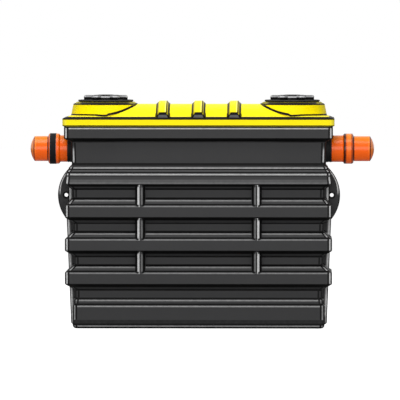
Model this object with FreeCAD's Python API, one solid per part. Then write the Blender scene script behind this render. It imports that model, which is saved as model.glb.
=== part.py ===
import FreeCAD, Part
import math
import os
from FreeCAD import Vector

# Aerobic filter tank: a rotomoulded plastic tank with four rib belts, an arched cover with two
# screw capped inspection turrets, and a pipe connection at the middle of each end.
# X runs along the tank, Y through its depth (front at -Y) and Z up from the underside. Millimetres.

# Moulded tank, over its rib belts and up to its flange
tank_length = 1169.0
tank_depth = 326.0
tank_height = 884.0
tank_wall = 6.0
corner_radius = 12.0

# Plain wall between the belts: it leans out a little so that the tank leaves its mould
wall_inset = 46.5
wall_lean = 0.0236

# Rib belts. Rounded edges are drawn as bevels that each turn by bevel_turn degrees at most
belt_count = 4
belt_first_z = 222.0
belt_pitch = 146.3
belt_face = 52.0
belt_flank = 26.0
belt_edge_radius = 6.0
bevel_turn = 46.0

# Stepped top flank of the highest belt: distance out from the wall, height over the belt's middle
step_face_lean = 3.0
step_low = (23.0, 25.0)
step_middle = (22.0, 30.0)
step_high = (14.0, 39.0)
step_top = (13.0, 48.0)
step_end_height = 61.0

# Foot band and flange collar
foot_proud = 14.0
foot_top = 103.0
foot_flank = 27.0
foot_edge_radius = 26.0
collar_proud = 3.5
collar_height = 51.0
collar_flank = 15.0
collar_edge_radius = 3.0
mouth_inset = 28.0

# Upright tie ribs across the grooves, front and back
tie_offset = 255.0
tie_width = 33.0
tie_foot_width = 50.0
tie_overlap = 2.0
tie_proud = 0.5
tie_radius = 9.0

# Raised panel in the upper front and back walls
panel_length = 800.0
panel_slope = 55.0
panel_proud = 6.0
panel_overlap = 10.0

# Upright fin down the middle of each end, and the lifting ear that grows out of it
fin_width = 60.0
fin_foot_reach = 559.5
fin_lean = 0.03
fin_foot_z = 14.0
fin_foot_radius = 22.0
fin_edge_bevel = 7.0
ear_thickness = 20.0
ear_radius = 167.0
ear_reach = 620.5
ear_z = 582.0
ear_edge_bevel = 4.0
ear_hole_diameter = 17.0
ear_hole_reach = 584.0
ear_ring_diameter = 26.0
ear_ring_proud = 2.0

# Cover
cover_length = 1190.0
cover_depth = 346.0
cover_wall = 5.0
cover_corner_radius = 23.0
rim_height = 34.0
rim_edge_bevel = 3.0
rim_flange = 6.0
shoulder_height = 15.0
shoulder_end_run = 35.0
shoulder_side_run = 25.0
roof_radius = 270.0
roof_foot_height = 36.5
roof_rise = 95.0
lip_depth = 20.0
lip_wall = 5.0
lip_clearance = 1.5
seal_thickness = 4.0

# Stiffening ribs over the roof
roof_rib_count = 3
roof_rib_pitch = 156.0
roof_rib_base = 61.0
roof_rib_face = 33.0
roof_rib_proud = 14.0
roof_rib_end_inset = 4.0
roof_rib_end_height = 64.0
roof_rib_foot_height = 40.0

# Inspection turrets
turret_offset = 410.0
turret_base_radius = 152.0
turret_edge_radius = 142.5
turret_height = 104.0
turret_bevel_height = 7.5
turret_bevel_width = 13.0
turret_foot_height = 50.0
neck_radius = 100.0
neck_wall = 5.0
neck_depth = 30.0
turret_plate = 6.0

# Screw caps and their seals. The cap climbs by its thread pitch for each turn, cap_turns in all
cap_radius = 121.0
cap_flange = 9.0
cap_wall = 4.0
cap_edge_bevel = 3.0
cap_seal_thickness = 2.0
cap_seal_inner = 104.0
cap_seal_outer = 117.0
thread_pitch = 9.0
cap_turns = 2.0
thread_clearance = 0.6
boss_radius = 65.0
boss_height = 16.0
boss_dome = 5.0
boss_shoulder = 61.0
boss_crown = 25.0
lug_count = 6
lug_reach = 96.0
lug_width = 28.0
lug_height = 18.0
lug_radius = 8.0
lug_bevel = 5.0

# Pipe connections
pipe_z = 786.0
pipe_diameter = 110.0
pipe_wall = 3.2
pad_reach = 559.0
pad_radius = 68.0
niche_clearance = 5.5
grommet_wall = 2.6
grommet_fit = 0.2
grommet_flange_wall = 4.5
grommet_flange_left = 19.0
grommet_flange_right = 24.0
grommet_inner_flange = 8.0
grommet_inner_radius = 64.0
socket_wall = 3.2
socket_fit = 0.3
socket_left = 32.0
socket_right = 50.0
bead_diameter = 133.0
bead_left = 52.0
bead_right = 46.0
bead_slope = 5.0
seal_ring_width = 14.0
seal_ring_groove = 5.0
band_width = 25.0
band_thickness = 1.6
band_shift = 5.0
spigot_left = 58.0
spigot_right = 70.0
spigot_end_bevel = 1.5
depth_mark_width = 2.0
depth_mark_depth = 0.8
plug_dome = 21.0
plug_dome_radius = 17.0
plug_bevels = 3
plug_skirt = 30.0
plug_wall = 3.0
pipe_inside_length = 67.0

# Pieces inside the tank
leg_height = 134.0
leg_width = 40.0
leg_wall = 4.0
leg_columns = 5
leg_pitch = 200.0
leg_row_offset = 80.0
grate_thickness = 10.0
grate_length = 1056.0
inner_depth = 222.0
slot_width = 12.0
slot_length = 84.0
slot_pitch = 56.0
media_blocks = 5
media_pitch = 179.0
media_gap = 1.0
media_height = 490.0
media_columns = 3
media_rows = 4
media_channel = 42.0
tray_wall = 4.0
tray_height = 36.0
tray_slot_width = 8.0
tray_slot_length = 60.0
tee_branch = 62.0
riser_window_height = 60.0
riser_window_width = 34.0
sleeve_length = 42.0
elbow_radius = 62.0
elbow_drop = 30.0
tee_rise = 66.0
tee_drop = 92.0

side_shift = (tank_length - tank_depth) / 2.0
belt_half = tank_length / 2.0
top_belt_z = belt_first_z + (belt_count - 1) * belt_pitch
cover_z = tank_height + seal_thickness
rim_top = cover_z + rim_height
roof_top = cover_z + roof_rise
roof_rib_reach = cover_depth / 2.0 - roof_rib_end_inset
turret_top = cover_z + turret_height
pipe_radius = pipe_diameter / 2.0
bore_radius = pipe_radius - pipe_wall
socket_bore = pipe_radius + socket_fit
socket_radius = socket_bore + socket_wall
pipe_inner_reach = pad_reach - pipe_inside_length
riser_x = pipe_inner_reach - tee_branch
media_left = -grate_length / 2.0
media_z = tank_wall + leg_height + grate_thickness
tray_z = media_z + media_height
X_AXIS = Vector(1, 0, 0)
Y_AXIS = Vector(0, 1, 0)
Z_AXIS = Vector(0, 0, 1)


def wall_half(z):
    """Half length of the plain tank wall at height z."""
    return belt_half - wall_inset + wall_lean * z


def box(x0, x1, y0, y1, z0, z1):
    """Upright box between two corners."""
    return Part.makeBox(x1 - x0, y1 - y0, z1 - z0, Vector(x0, y0, z0))


def cylinder(radius, z0, z1, x=0.0, y=0.0):
    """Upright cylinder between two heights."""
    return Part.makeCylinder(radius, z1 - z0, Vector(x, y, z0), Z_AXIS)


def ring(half_x, half_y, z, radius):
    """Level outline with rounded corners, as one closed wire."""
    x = half_x - radius
    y = half_y - radius
    bend = radius * math.sqrt(0.5)
    corners = []
    for sx, sy in ((1, 1), (-1, 1), (-1, -1), (1, -1)):
        on_end = Vector(sx * half_x, sy * y, z)
        middle = Vector(sx * (x + bend), sy * (y + bend), z)
        on_side = Vector(sx * x, sy * half_y, z)
        if sx == sy:
            corners.append((on_end, middle, on_side))
        else:
            corners.append((on_side, middle, on_end))
    edges = []
    for index, (start, middle, end) in enumerate(corners):
        following = corners[(index + 1) % 4][0]
        edges.append(Part.Arc(start, middle, end).toShape())
        edges.append(Part.LineSegment(end, following).toShape())
    return Part.Wire(edges)


def softened(profile):
    """The profile with each rounded corner drawn as an arc of short bevels: (half length, height) points."""
    points = []
    for index, (half, z, radius) in enumerate(profile):
        here = Vector(half, 0, z)
        if index:
            before = Vector(profile[index - 1][0], 0, profile[index - 1][1])
        else:
            before = Vector(0, 0, z)
        if index < len(profile) - 1:
            after = Vector(profile[index + 1][0], 0, profile[index + 1][1])
        else:
            after = Vector(0, 0, z)
        arriving = (here - before).normalize()
        leaving = (after - here).normalize()
        turn = arriving.getAngle(leaving)
        if not radius or turn < 0.01:
            points.append((half, z))
            continue
        reach = radius * math.tan(turn / 2.0)
        start = here - arriving * reach
        across = (leaving - arriving * math.cos(turn)).normalize()
        count = math.ceil(math.degrees(turn) / bevel_turn)
        for step in range(count + 1):
            angle = turn * step / count
            point = start + arriving * (radius * math.sin(angle)) + across * (radius * (1.0 - math.cos(angle)))
            points.append((point.x, point.z))
    return points


def stacked(profile, half_difference, radius):
    """Solid of level outlines with rounded corners, one for each (half length, height) of the profile."""
    rings = [ring(half, half - half_difference, z, radius) for half, z in profile]
    return Part.makeLoft(rings, True, True)


def level_edges(shape, z):
    """Every edge of the shape that lies wholly at height z."""
    found = []
    for edge in shape.Edges:
        if abs(edge.BoundBox.ZMin - z) < 0.01 and abs(edge.BoundBox.ZMax - z) < 0.01:
            found.append(edge)
    return found


def turned(points, centre=Vector(0, 0, 0), axis=Z_AXIS):
    """Solid of revolution from (distance along the axis, radius) points."""
    out = X_AXIS if axis == Z_AXIS else Z_AXIS
    wire = Part.makePolygon([centre + axis * along + out * radius for along, radius in points + points[:1]])
    return Part.Face(wire).revolve(centre, axis, 360)


def outline_prism(points, normal, depth):
    """Flat outline given as points in space, made into a prism that is centred on it."""
    face = Part.Face(Part.makePolygon(points + points[:1]))
    face.translate(normal * (-depth / 2.0))
    return face.extrude(normal * depth)


def on_side(shape, side):
    """The shape as made for the right end, or mirrored to the left end."""
    if side > 0:
        return shape
    return shape.mirror(Vector(0, 0, 0), X_AXIS)


def tank_profile(stepped):
    """Tank outline from the underside up: (half length, height, rounding of that edge)."""
    foot_half = wall_half(0) + foot_proud
    foot_end = foot_top + foot_flank
    points = [(foot_half, 0, foot_edge_radius), (foot_half, foot_top, belt_edge_radius)]
    points.append((wall_half(foot_end), foot_end, 0))
    for index in range(belt_count):
        middle = belt_first_z + index * belt_pitch
        edge = belt_face / 2.0
        end = edge + belt_flank
        points.append((wall_half(middle - end), middle - end, 0))
        points.append((belt_half, middle - edge, belt_edge_radius))
        if index < belt_count - 1 or not stepped:
            points.append((belt_half, middle + edge, belt_edge_radius))
            points.append((wall_half(middle + end), middle + end, 0))
    if stepped:
        lean_half = belt_half - step_face_lean
        points.append((lean_half, top_belt_z, 0))
        points.append((lean_half, top_belt_z + step_low[1] - belt_edge_radius, belt_edge_radius / 2.0))
        for out, height in (step_low, step_middle, step_high, step_top):
            points.append((wall_half(top_belt_z + height) + out, top_belt_z + height, 0))
        points.append((wall_half(top_belt_z + step_end_height), top_belt_z + step_end_height, 0))
    collar_foot = tank_height - collar_height
    under = collar_foot - collar_flank
    points.append((wall_half(under), under, 0))
    points.append((belt_half + collar_proud, collar_foot, belt_edge_radius))
    points.append((belt_half + collar_proud, tank_height, collar_edge_radius))
    return points


def inward(profile, thickness):
    """The profile moved inwards by a wall thickness, its corners found where the moved lines meet."""
    moved = []
    for index, (half, z, radius) in enumerate(profile):
        before = profile[max(index - 1, 0)]
        after = profile[min(index + 1, len(profile) - 1)]
        first = math.atan2(z - before[1], half - before[0]) if index else math.pi / 2.0
        second = math.atan2(after[1] - z, after[0] - half) if index < len(profile) - 1 else math.pi / 2.0
        mean = (first + second) / 2.0
        reach = thickness / math.cos((first - second) / 2.0)
        point = (half - math.sin(mean) * reach, z + math.cos(mean) * reach, max(radius - thickness, 0))
        moved.append(point)
    moved[0] = (moved[0][0], thickness, moved[0][2])
    moved[-1] = (moved[-1][0], profile[-1][1] - thickness, 0)
    return moved


def end_fin(inset):
    """Upright fin in the middle of the right end, or the hollow inside it."""
    inner = wall_half(0) - wall_inset
    foot = fin_foot_z + inset
    top = top_belt_z
    reach_low = fin_foot_reach - inset
    reach_top = reach_low + fin_lean * (top - fin_foot_z)
    points = [
        Vector(inner, 0, foot),
        Vector(reach_low, 0, foot),
        Vector(reach_top, 0, top),
        Vector(inner, 0, top),
    ]
    fin = outline_prism(points, Y_AXIS, fin_width - 2.0 * inset)
    if inset:
        return fin
    foot_edge = []
    for edge in fin.Edges:
        if edge.BoundBox.YLength > fin_width / 2.0 and abs(edge.CenterOfMass.x - reach_low) < 0.1:
            foot_edge.append(edge)
    fin = fin.makeFillet(fin_foot_radius, foot_edge)
    outer_edges = []
    for edge in fin.Edges:
        bounds = edge.BoundBox
        if bounds.YLength < 0.1 and bounds.XMin > reach_low - fin_foot_radius - 1.0 and bounds.ZLength > 1.0:
            outer_edges.append(edge)
    return fin.makeChamfer(fin_edge_bevel, outer_edges)


def lifting_ear():
    """Ear of the right end: part of a disc that stands out past the belts, with rounded edges."""
    start = Vector(ear_reach - ear_radius, -ear_thickness / 2.0, ear_z)
    disc = Part.makeCylinder(ear_radius, ear_thickness, start, Y_AXIS)
    disc = disc.makeChamfer(ear_edge_bevel, [edge for edge in disc.Edges if edge.BoundBox.YLength < 0.1])
    inner = wall_half(ear_z) - tank_wall / 2.0
    span = ear_radius + 1.0
    return disc.common(box(inner, ear_reach + 1.0, -span, span, ear_z - span, ear_z + span))


def ear_bore(radius, length):
    """Cylinder through the right ear's hole."""
    return Part.makeCylinder(radius, length, Vector(ear_hole_reach, -length / 2.0, ear_z), Y_AXIS)


def tank_tie(x, side, index):
    """One tie rib across the groove above belt number index."""
    low = belt_first_z + index * belt_pitch + belt_face / 2.0 - tie_overlap
    high = belt_first_z + (index + 1) * belt_pitch - belt_face / 2.0 + tie_overlap
    front = tank_depth / 2.0 + tie_proud
    back = wall_half(low) - side_shift - tank_wall / 2.0
    half = tie_width / 2.0
    foot_half = tie_foot_width / 2.0
    corners = [(-foot_half, back), (-half, front), (half, front), (foot_half, back), (-foot_half, back)]
    section = Part.Face(Part.makePolygon([Vector(x + across, y, low) for across, y in corners]))
    tie = section.extrude(Z_AXIS * (high - low))
    upright = [edge for edge in tie.Edges if edge.BoundBox.YMin > front - 0.1 and edge.BoundBox.ZLength > 1.0]
    tie = tie.makeFillet(tie_radius, upright)
    if side > 0:
        return tie
    return tie.mirror(Vector(0, 0, 0), Y_AXIS)


def wall_panel(side):
    """Raised panel of the upper wall, with sloping ends, on the front or the back."""
    low = top_belt_z + step_end_height - panel_overlap
    high = tank_height - collar_height - collar_flank + panel_overlap
    surface = wall_half((low + high) / 2.0) - side_shift
    half = panel_length / 2.0
    points = [
        Vector(-half, side * surface, low),
        Vector(-half + panel_slope, side * (surface + panel_proud), low),
        Vector(half - panel_slope, side * (surface + panel_proud), low),
        Vector(half, side * surface, low),
        Vector(half, side * (surface - tank_wall / 2.0), low),
        Vector(-half, side * (surface - tank_wall / 2.0), low),
    ]
    return Part.Face(Part.makePolygon(points + points[:1])).extrude(Z_AXIS * (high - low))


def tank_body():
    """Rotomoulded tank: a hollow shell of one wall thickness, with its ribs, fins, ears and holes."""
    outer = stacked(softened(tank_profile(True)), side_shift, corner_radius)
    inner_radius = corner_radius - tank_wall
    hollow = stacked(softened(inward(tank_profile(False), tank_wall)), side_shift, inner_radius)
    added = []
    removed = []
    niche_radius = socket_radius + niche_clearance
    for side in (-1, 1):
        added.append(on_side(end_fin(0.0), side))
        added.append(on_side(lifting_ear(), side))
        ring_length = ear_thickness + 2.0 * ear_ring_proud
        added.append(on_side(ear_bore(ear_ring_diameter / 2.0, ring_length), side))
        added.append(wall_panel(side))
        start = Vector(pad_reach - 2.0 * tank_wall, 0, pipe_z)
        pad = Part.makeCylinder(pad_radius, 2.0 * tank_wall, start, X_AXIS)
        added.append(on_side(pad, side))
        niche = Part.makeCylinder(niche_radius, tank_depth, Vector(pad_reach, 0, pipe_z), X_AXIS)
        removed.append(on_side(niche, side))
        start = Vector(pipe_inner_reach, 0, pipe_z)
        hole = Part.makeCylinder(pipe_radius + grommet_wall + grommet_fit, tank_depth, start, X_AXIS)
        removed.append(on_side(hole, side))
        removed.append(on_side(ear_bore(ear_hole_diameter / 2.0, fin_width), side))
        for x in (-tie_offset, tie_offset):
            for index in range(belt_count - 1):
                added.append(tank_tie(x, side, index))
        start = Vector(pad_reach - tank_wall, 0, pipe_z)
        wall_of_niche = Part.makeCylinder(niche_radius + tank_wall, tank_depth, start, X_AXIS)
        hollow = hollow.cut(on_side(wall_of_niche, side))
        hollow = hollow.fuse(on_side(end_fin(tank_wall), side))
        removed.append(on_side(ear_relief(), side))
    mouth_half = belt_half + collar_proud - mouth_inset
    mouth_foot = tank_height - 2.0 * tank_wall
    mouth = stacked([(mouth_half, mouth_foot), (mouth_half, tank_height + 1.0)], side_shift, corner_radius)
    body = outer.fuse(added)
    return body.cut([hollow, mouth] + removed)


def ear_relief():
    """Round clearance at both faces of the right ear's ring, where the wider fin would cover it."""
    outside = ear_bore(ear_ring_diameter / 2.0, fin_width + 2.0)
    inside = ear_bore(ear_ring_diameter / 2.0 + 1.0, ear_thickness + 2.0 * ear_ring_proud)
    return outside.cut(inside)


def cover_seal():
    """Flat rubber seal between the tank's flange and the cover."""
    half = belt_half + collar_proud
    hole = half - mouth_inset
    outer = stacked([(half, tank_height), (half, cover_z)], side_shift, corner_radius)
    return outer.cut(stacked([(hole, tank_height), (hole, cover_z)], side_shift, corner_radius))


def roof_arch(inset, half_length, low):
    """Barrel roof between the turrets, or the hollow inside it, down to height low."""
    radius = roof_radius - inset
    centre_z = roof_top - roof_radius
    half = math.sqrt(radius**2 - (low - centre_z) ** 2)
    start = Vector(-half_length, -half, low)
    end = Vector(-half_length, half, low)
    crown = Vector(-half_length, 0, centre_z + radius)
    edges = [Part.Arc(start, crown, end).toShape(), Part.LineSegment(end, start).toShape()]
    return Part.Face(Part.Wire(edges)).extrude(X_AXIS * (2.0 * half_length))


def rib_section(x, crown_z, reach, end_z, foot_z, foot_reach):
    """Side outline of a roof rib at one place along X: a flat arc, cut back under its ends."""
    left = Vector(x, -reach, end_z)
    right = Vector(x, reach, end_z)
    foot_left = Vector(x, -foot_reach, foot_z)
    foot_right = Vector(x, foot_reach, foot_z)
    edges = [Part.Arc(left, Vector(x, 0, crown_z), right).toShape()]
    edges.append(Part.LineSegment(right, foot_right).toShape())
    edges.append(Part.LineSegment(foot_right, foot_left).toShape())
    edges.append(Part.LineSegment(foot_left, left).toShape())
    return Part.Wire(edges)


def roof_rib(x, inset):
    """Stiffening rib over the roof, with bevelled sides, or the hollow inside it."""
    foot_z = cover_z + roof_rib_foot_height
    centre_z = roof_top - roof_radius
    roof_at_foot = math.sqrt((roof_radius - inset) ** 2 - (foot_z - centre_z) ** 2)
    sunk = 1.0
    roof_reach = roof_at_foot - sunk
    reach = roof_rib_reach - inset
    end_z = cover_z + roof_rib_end_height - inset
    crown = roof_top + roof_rib_proud - inset
    face_half = roof_rib_face / 2.0 - inset / 2.0
    base_half = roof_rib_base / 2.0 - inset
    outer = []
    for place in (-face_half, face_half):
        outer.append(rib_section(x + place, crown, reach, end_z, foot_z, roof_reach))
    rib = Part.makeLoft(outer, True, True)
    roof_end_z = foot_z + 2.0
    roof_end = math.sqrt((roof_radius - inset) ** 2 - (roof_end_z - centre_z) ** 2) - sunk
    for side, face_wire in ((-1, outer[0]), (1, outer[1])):
        base = rib_section(x + side * base_half, roof_top - inset - sunk, roof_end, roof_end_z, foot_z, roof_reach)
        rib = rib.fuse(Part.makeLoft([face_wire, base], True, True))
    return rib


def turret(side, inset):
    """Tapered round turret with a bevelled top edge, or the hollow inside it."""
    slope = (turret_base_radius - turret_edge_radius) / (turret_height - turret_bevel_height - turret_foot_height)
    foot = cover_z + turret_foot_height - shoulder_height
    edge_z = turret_top - turret_bevel_height
    foot_radius = turret_edge_radius + slope * (edge_z - foot)
    if not inset:
        points = [(foot, 0), (foot, foot_radius), (edge_z, turret_edge_radius)]
        points.extend([(turret_top, turret_edge_radius - turret_bevel_width), (turret_top, 0)])
    else:
        top = turret_top - turret_plate
        top_radius = turret_edge_radius - turret_bevel_width
        points = [(foot, 0), (foot, foot_radius - inset), (edge_z - inset / 2.0, turret_edge_radius - inset)]
        points.extend([(top, top_radius - inset / 2.0), (top, 0)])
    return turned(points, Vector(side * turret_offset, 0, 0))


def cover_block(inset):
    """Rim and sloping shoulder of the cover, or the hollow inside them."""
    half_x = cover_length / 2.0 - inset
    half_y = cover_depth / 2.0 - inset
    radius = cover_corner_radius - inset
    low = cover_z + (rim_flange if inset else 0.0)
    edge_z = rim_top - inset / 2.0
    top = ring(half_x - shoulder_end_run, half_y - shoulder_side_run, rim_top + shoulder_height - inset, radius / 2.0)
    if inset:
        rings = [ring(half_x, half_y, low, radius), ring(half_x, half_y, edge_z, radius), top]
        return Part.makeLoft(rings, True, True)
    rings = [ring(half_x - collar_edge_radius, half_y - collar_edge_radius, low, radius - collar_edge_radius)]
    rings.append(ring(half_x, half_y, low + collar_edge_radius, radius))
    rings.append(ring(half_x, half_y, edge_z - rim_edge_bevel, radius))
    slope_x = shoulder_end_run / shoulder_height
    slope_y = shoulder_side_run / shoulder_height
    x = half_x - slope_x * rim_edge_bevel
    y = half_y - slope_y * rim_edge_bevel
    rings.append(ring((x + 2.0 * half_x) / 3.0, (y + 2.0 * half_y) / 3.0, edge_z, radius))
    rings.append(ring(x, y, edge_z + rim_edge_bevel, radius))
    rings.append(top)
    return Part.makeLoft(rings, True, True)


def cover():
    """Arched cover: a hollow shell with its rim, shoulder, ribs, turrets, necks and locating lip."""
    roof_foot = cover_z + roof_foot_height
    outer = cover_block(0.0).fuse(roof_arch(0.0, turret_offset, roof_foot))
    hollow = cover_block(cover_wall).fuse(roof_arch(cover_wall, turret_offset, roof_foot - cover_wall / 2.0))
    first = -(roof_rib_count - 1) / 2.0
    for index in range(roof_rib_count):
        x = (first + index) * roof_rib_pitch
        outer = outer.fuse(roof_rib(x, 0.0))
        hollow = hollow.fuse(roof_rib(x, cover_wall))
    for side in (-1, 1):
        outer = outer.fuse(turret(side, 0.0))
        hollow = hollow.fuse(turret(side, cover_wall))
    mouth_half = belt_half + collar_proud - mouth_inset - lip_clearance
    lip_half = mouth_half - lip_wall
    top = cover_z + rim_flange
    foot = cover_z - seal_thickness - lip_depth
    lip = stacked([(mouth_half, foot), (mouth_half, top)], side_shift, corner_radius)
    through = stacked([(lip_half, foot - 1.0), (lip_half, top + 1.0)], side_shift, corner_radius - lip_wall)
    shell = outer.cut(hollow).fuse(lip).cut(through)
    for side in (-1, 1):
        x = side * turret_offset
        neck = cylinder(neck_radius + neck_wall, turret_top - neck_depth, turret_top - turret_plate / 2.0, x)
        opening = cylinder(neck_radius, turret_top - neck_depth - 1.0, turret_top + 1.0, x)
        shell = shell.fuse(neck).cut(opening)
    return shell


def cap_seal(side):
    """Flat ring seal between a turret and its screw cap."""
    x = side * turret_offset
    top = turret_top + cap_seal_thickness
    return cylinder(cap_seal_outer, turret_top, top, x).cut(cylinder(cap_seal_inner, turret_top, top, x))


def cap_lug(angle):
    """One grip lug of a screw cap, from the boss out towards the edge, with rounded edges."""
    low = turret_top + cap_seal_thickness + cap_flange - 1.0
    high = low + 1.0 + lug_height
    half = lug_width / 2.0
    lug = box(boss_radius - 2.0 * lug_radius, lug_reach, -half, half, low, high)
    upright = []
    for edge in lug.Edges:
        if edge.BoundBox.ZLength > 1.0 and edge.BoundBox.XMin > lug_reach - 0.1:
            upright.append(edge)
    lug = lug.makeFillet(lug_radius, upright)
    top_edges = [edge for edge in level_edges(lug, high) if edge.BoundBox.XMax > boss_radius]
    lug = lug.makeChamfer(lug_bevel, top_edges)
    lug.rotate(Vector(0, 0, 0), Z_AXIS, angle)
    return lug


def screw_cap(side):
    """Screw cap: flange, hollow domed boss with grip lugs, and a skirt that screws into the neck."""
    seat = turret_top + cap_seal_thickness
    flange_top = seat + cap_flange
    skirt_radius = neck_radius - thread_clearance
    skirt_foot = seat - cap_turns * thread_pitch
    cap = cylinder(cap_radius, seat, flange_top)
    cap = cap.makeChamfer(cap_edge_bevel, level_edges(cap, flange_top))
    boss_top = flange_top + boss_height
    outline = [(seat, 0), (seat, boss_radius), (boss_top, boss_radius), (boss_top + cap_edge_bevel, boss_shoulder)]
    outline.extend([(boss_top + boss_dome, boss_crown), (boss_top + boss_dome, 0)])
    cap = cap.fuse(turned(outline))
    for index in range(lug_count):
        cap = cap.fuse(cap_lug(index * 360.0 / lug_count))
    cap = cap.fuse(cylinder(skirt_radius, skirt_foot, seat + cap_wall))
    hollow = cylinder(skirt_radius - cap_wall, skirt_foot - 1.0, flange_top - cap_wall)
    boss_hollow = cylinder(boss_radius - cap_wall, seat, boss_top - cap_wall)
    cap = cap.cut([hollow, boss_hollow])
    cap.translate(Vector(side * turret_offset, 0, 0))
    return cap


def pipe_grommet(side, flange_length):
    """Rubber grommet that seals the pipe in the tank's end wall."""
    inner = wall_half(pipe_z - grommet_inner_radius) - tank_wall - grommet_fit
    bore = pipe_radius + grommet_fit
    sleeve = pipe_radius + grommet_wall
    outer = bore + grommet_flange_wall
    points = [
        (inner - grommet_inner_flange, bore),
        (inner - grommet_inner_flange, grommet_inner_radius),
        (inner, grommet_inner_radius),
        (inner, sleeve),
        (pad_reach, sleeve),
        (pad_reach, outer),
        (pad_reach + flange_length, outer),
        (pad_reach + flange_length, bore),
    ]
    return on_side(turned(points, Vector(0, 0, pipe_z), X_AXIS), side)


def socket_places(flange_length, socket_length, bead_length):
    """Distances along X of one socket: its start, its bead's start and end, and its seal ring's middle."""
    start = pad_reach + flange_length
    bead_start = start + socket_length
    bead_end = bead_start + bead_length
    return start, bead_start, bead_end, (bead_start + bead_end) / 2.0


def pipe_socket(side, places):
    """Socket pipe through the grommet: plain inside the tank, widened to a socket with a ring bead."""
    start, bead_start, bead_end, ring_middle = places
    bead = bead_diameter / 2.0
    stop = start + 2.0 * bead_slope
    groove_half = seal_ring_width / 2.0 + socket_fit
    groove = socket_bore + seal_ring_groove
    points = [
        (pipe_inner_reach, bore_radius),
        (pipe_inner_reach, pipe_radius),
        (start, pipe_radius),
        (start, socket_radius),
        (bead_start, socket_radius),
        (bead_start + bead_slope, bead),
        (bead_end - bead_slope, bead),
        (bead_end, socket_radius + bead_slope / 2.0),
        (bead_end, socket_bore),
        (ring_middle + groove_half, socket_bore),
        (ring_middle + groove_half, groove),
        (ring_middle - groove_half, groove),
        (ring_middle - groove_half, socket_bore),
        (stop, socket_bore),
        (stop, bore_radius),
    ]
    return on_side(turned(points, Vector(0, 0, pipe_z), X_AXIS), side)


def socket_ring(side, places):
    """Rubber ring in the socket's bead, round the spigot."""
    middle = places[3]
    half = seal_ring_width / 2.0
    groove = socket_bore + seal_ring_groove - socket_fit
    bore = pipe_radius + grommet_fit
    points = [(middle - half, bore), (middle - half, groove), (middle + half, groove), (middle + half, bore)]
    return on_side(turned(points, Vector(0, 0, pipe_z), X_AXIS), side)


def socket_band(side, places):
    """Black band round the bead of the inlet socket, nearer its mouth."""
    middle = places[3] + band_shift
    half = band_width / 2.0
    inner = bead_diameter / 2.0 + grommet_fit
    outer = inner + band_thickness
    points = [(middle - half, inner), (middle - half, outer), (middle + half, outer), (middle + half, inner)]
    return on_side(turned(points, Vector(0, 0, pipe_z), X_AXIS), side)


def pipe_spigot(side, places, length):
    """Plain pipe end in the socket, which the sewer pipe joins to, with a ring mark for its depth in the socket."""
    start = places[0] + 2.0 * bead_slope
    mouth = places[2]
    end = mouth + length
    points = [
        (start, bore_radius),
        (start, pipe_radius),
        (mouth - depth_mark_width, pipe_radius),
        (mouth - depth_mark_width, pipe_radius - depth_mark_depth),
        (mouth, pipe_radius - depth_mark_depth),
        (mouth, pipe_radius),
        (end - spigot_end_bevel, pipe_radius),
        (end, pipe_radius - spigot_end_bevel),
        (end, bore_radius),
    ]
    return on_side(turned(points, Vector(0, 0, pipe_z), X_AXIS), side)


def pipe_plug(side, places, length):
    """Blanking plug: a domed head as wide as the pipe, and a skirt inside its bore."""
    seat = places[2] + length
    end = seat + plug_dome
    skirt = bore_radius - socket_fit
    outline = [(seat - plug_skirt, 0), (seat - plug_skirt, skirt), (seat, skirt), (seat, pipe_radius)]
    for step in range(plug_bevels + 1):
        angle = math.pi / 2.0 * step / plug_bevels
        along = end - plug_dome_radius * (1.0 - math.sin(angle))
        outline.append((along, pipe_radius - plug_dome_radius * (1.0 - math.cos(angle))))
    outline.append((end, 0))
    hollow_radius = skirt - plug_wall
    hollow = [(seat - plug_skirt, 0), (seat - plug_skirt, hollow_radius), (seat, hollow_radius), (seat, 0)]
    centre = Vector(0, 0, pipe_z)
    return on_side(turned(outline, centre, X_AXIS).cut(turned(hollow, centre, X_AXIS)), side)


def grate_legs():
    """Short square tubes that hold the support grate over the sump."""
    legs = []
    first = -(leg_columns - 1) / 2.0
    top = tank_wall + leg_height
    half = leg_width / 2.0
    inner = half - leg_wall
    for column in range(leg_columns):
        x = (first + column) * leg_pitch
        for y in (-leg_row_offset, leg_row_offset):
            leg = box(x - half, x + half, y - half, y + half, tank_wall, top)
            legs.append(leg.cut(box(x - inner, x + inner, y - inner, y + inner, tank_wall, top)))
    return Part.makeCompound(legs)


def slotted(plate, x0, x1, pitch, width, length, low, high):
    """The plate with two rows of slots between two places along X."""
    count = int((x1 - x0) / pitch)
    margin = (x1 - x0 - (count - 1) * pitch) / 2.0
    slots = []
    for index in range(count):
        x = x0 + margin + index * pitch
        for side in (-1, 1):
            y = side * (length / 2.0 + width)
            slots.append(box(x - width / 2.0, x + width / 2.0, y - length / 2.0, y + length / 2.0, low, high))
    return plate.cut(slots)


def support_grate():
    """Slotted plate under the filter media, with a hole for the riser."""
    low = tank_wall + leg_height
    high = low + grate_thickness
    half = inner_depth / 2.0
    plate = box(-grate_length / 2.0, grate_length / 2.0, -half, half, low, high)
    media_right = media_left + media_blocks * media_pitch
    plate = slotted(plate, media_left, media_right, slot_pitch, slot_width, slot_length, low, high)
    return plate.cut(cylinder(pipe_radius + socket_fit, low, high, riser_x))


def media_block(index):
    """Block of filter media, with square channels from top to bottom."""
    x0 = media_left + index * media_pitch + media_gap / 2.0
    x1 = x0 + media_pitch - media_gap
    half = inner_depth / 2.0
    high = media_z + media_height
    block = box(x0, x1, -half, half, media_z, high)
    step_x = (x1 - x0) / media_columns
    step_y = inner_depth / media_rows
    channels = []
    for column in range(media_columns):
        for row in range(media_rows):
            x = x0 + (column + 0.5) * step_x - media_channel / 2.0
            y = -half + (row + 0.5) * step_y - media_channel / 2.0
            channels.append(box(x, x + media_channel, y, y + media_channel, media_z, high))
    return block.cut(channels)


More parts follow.
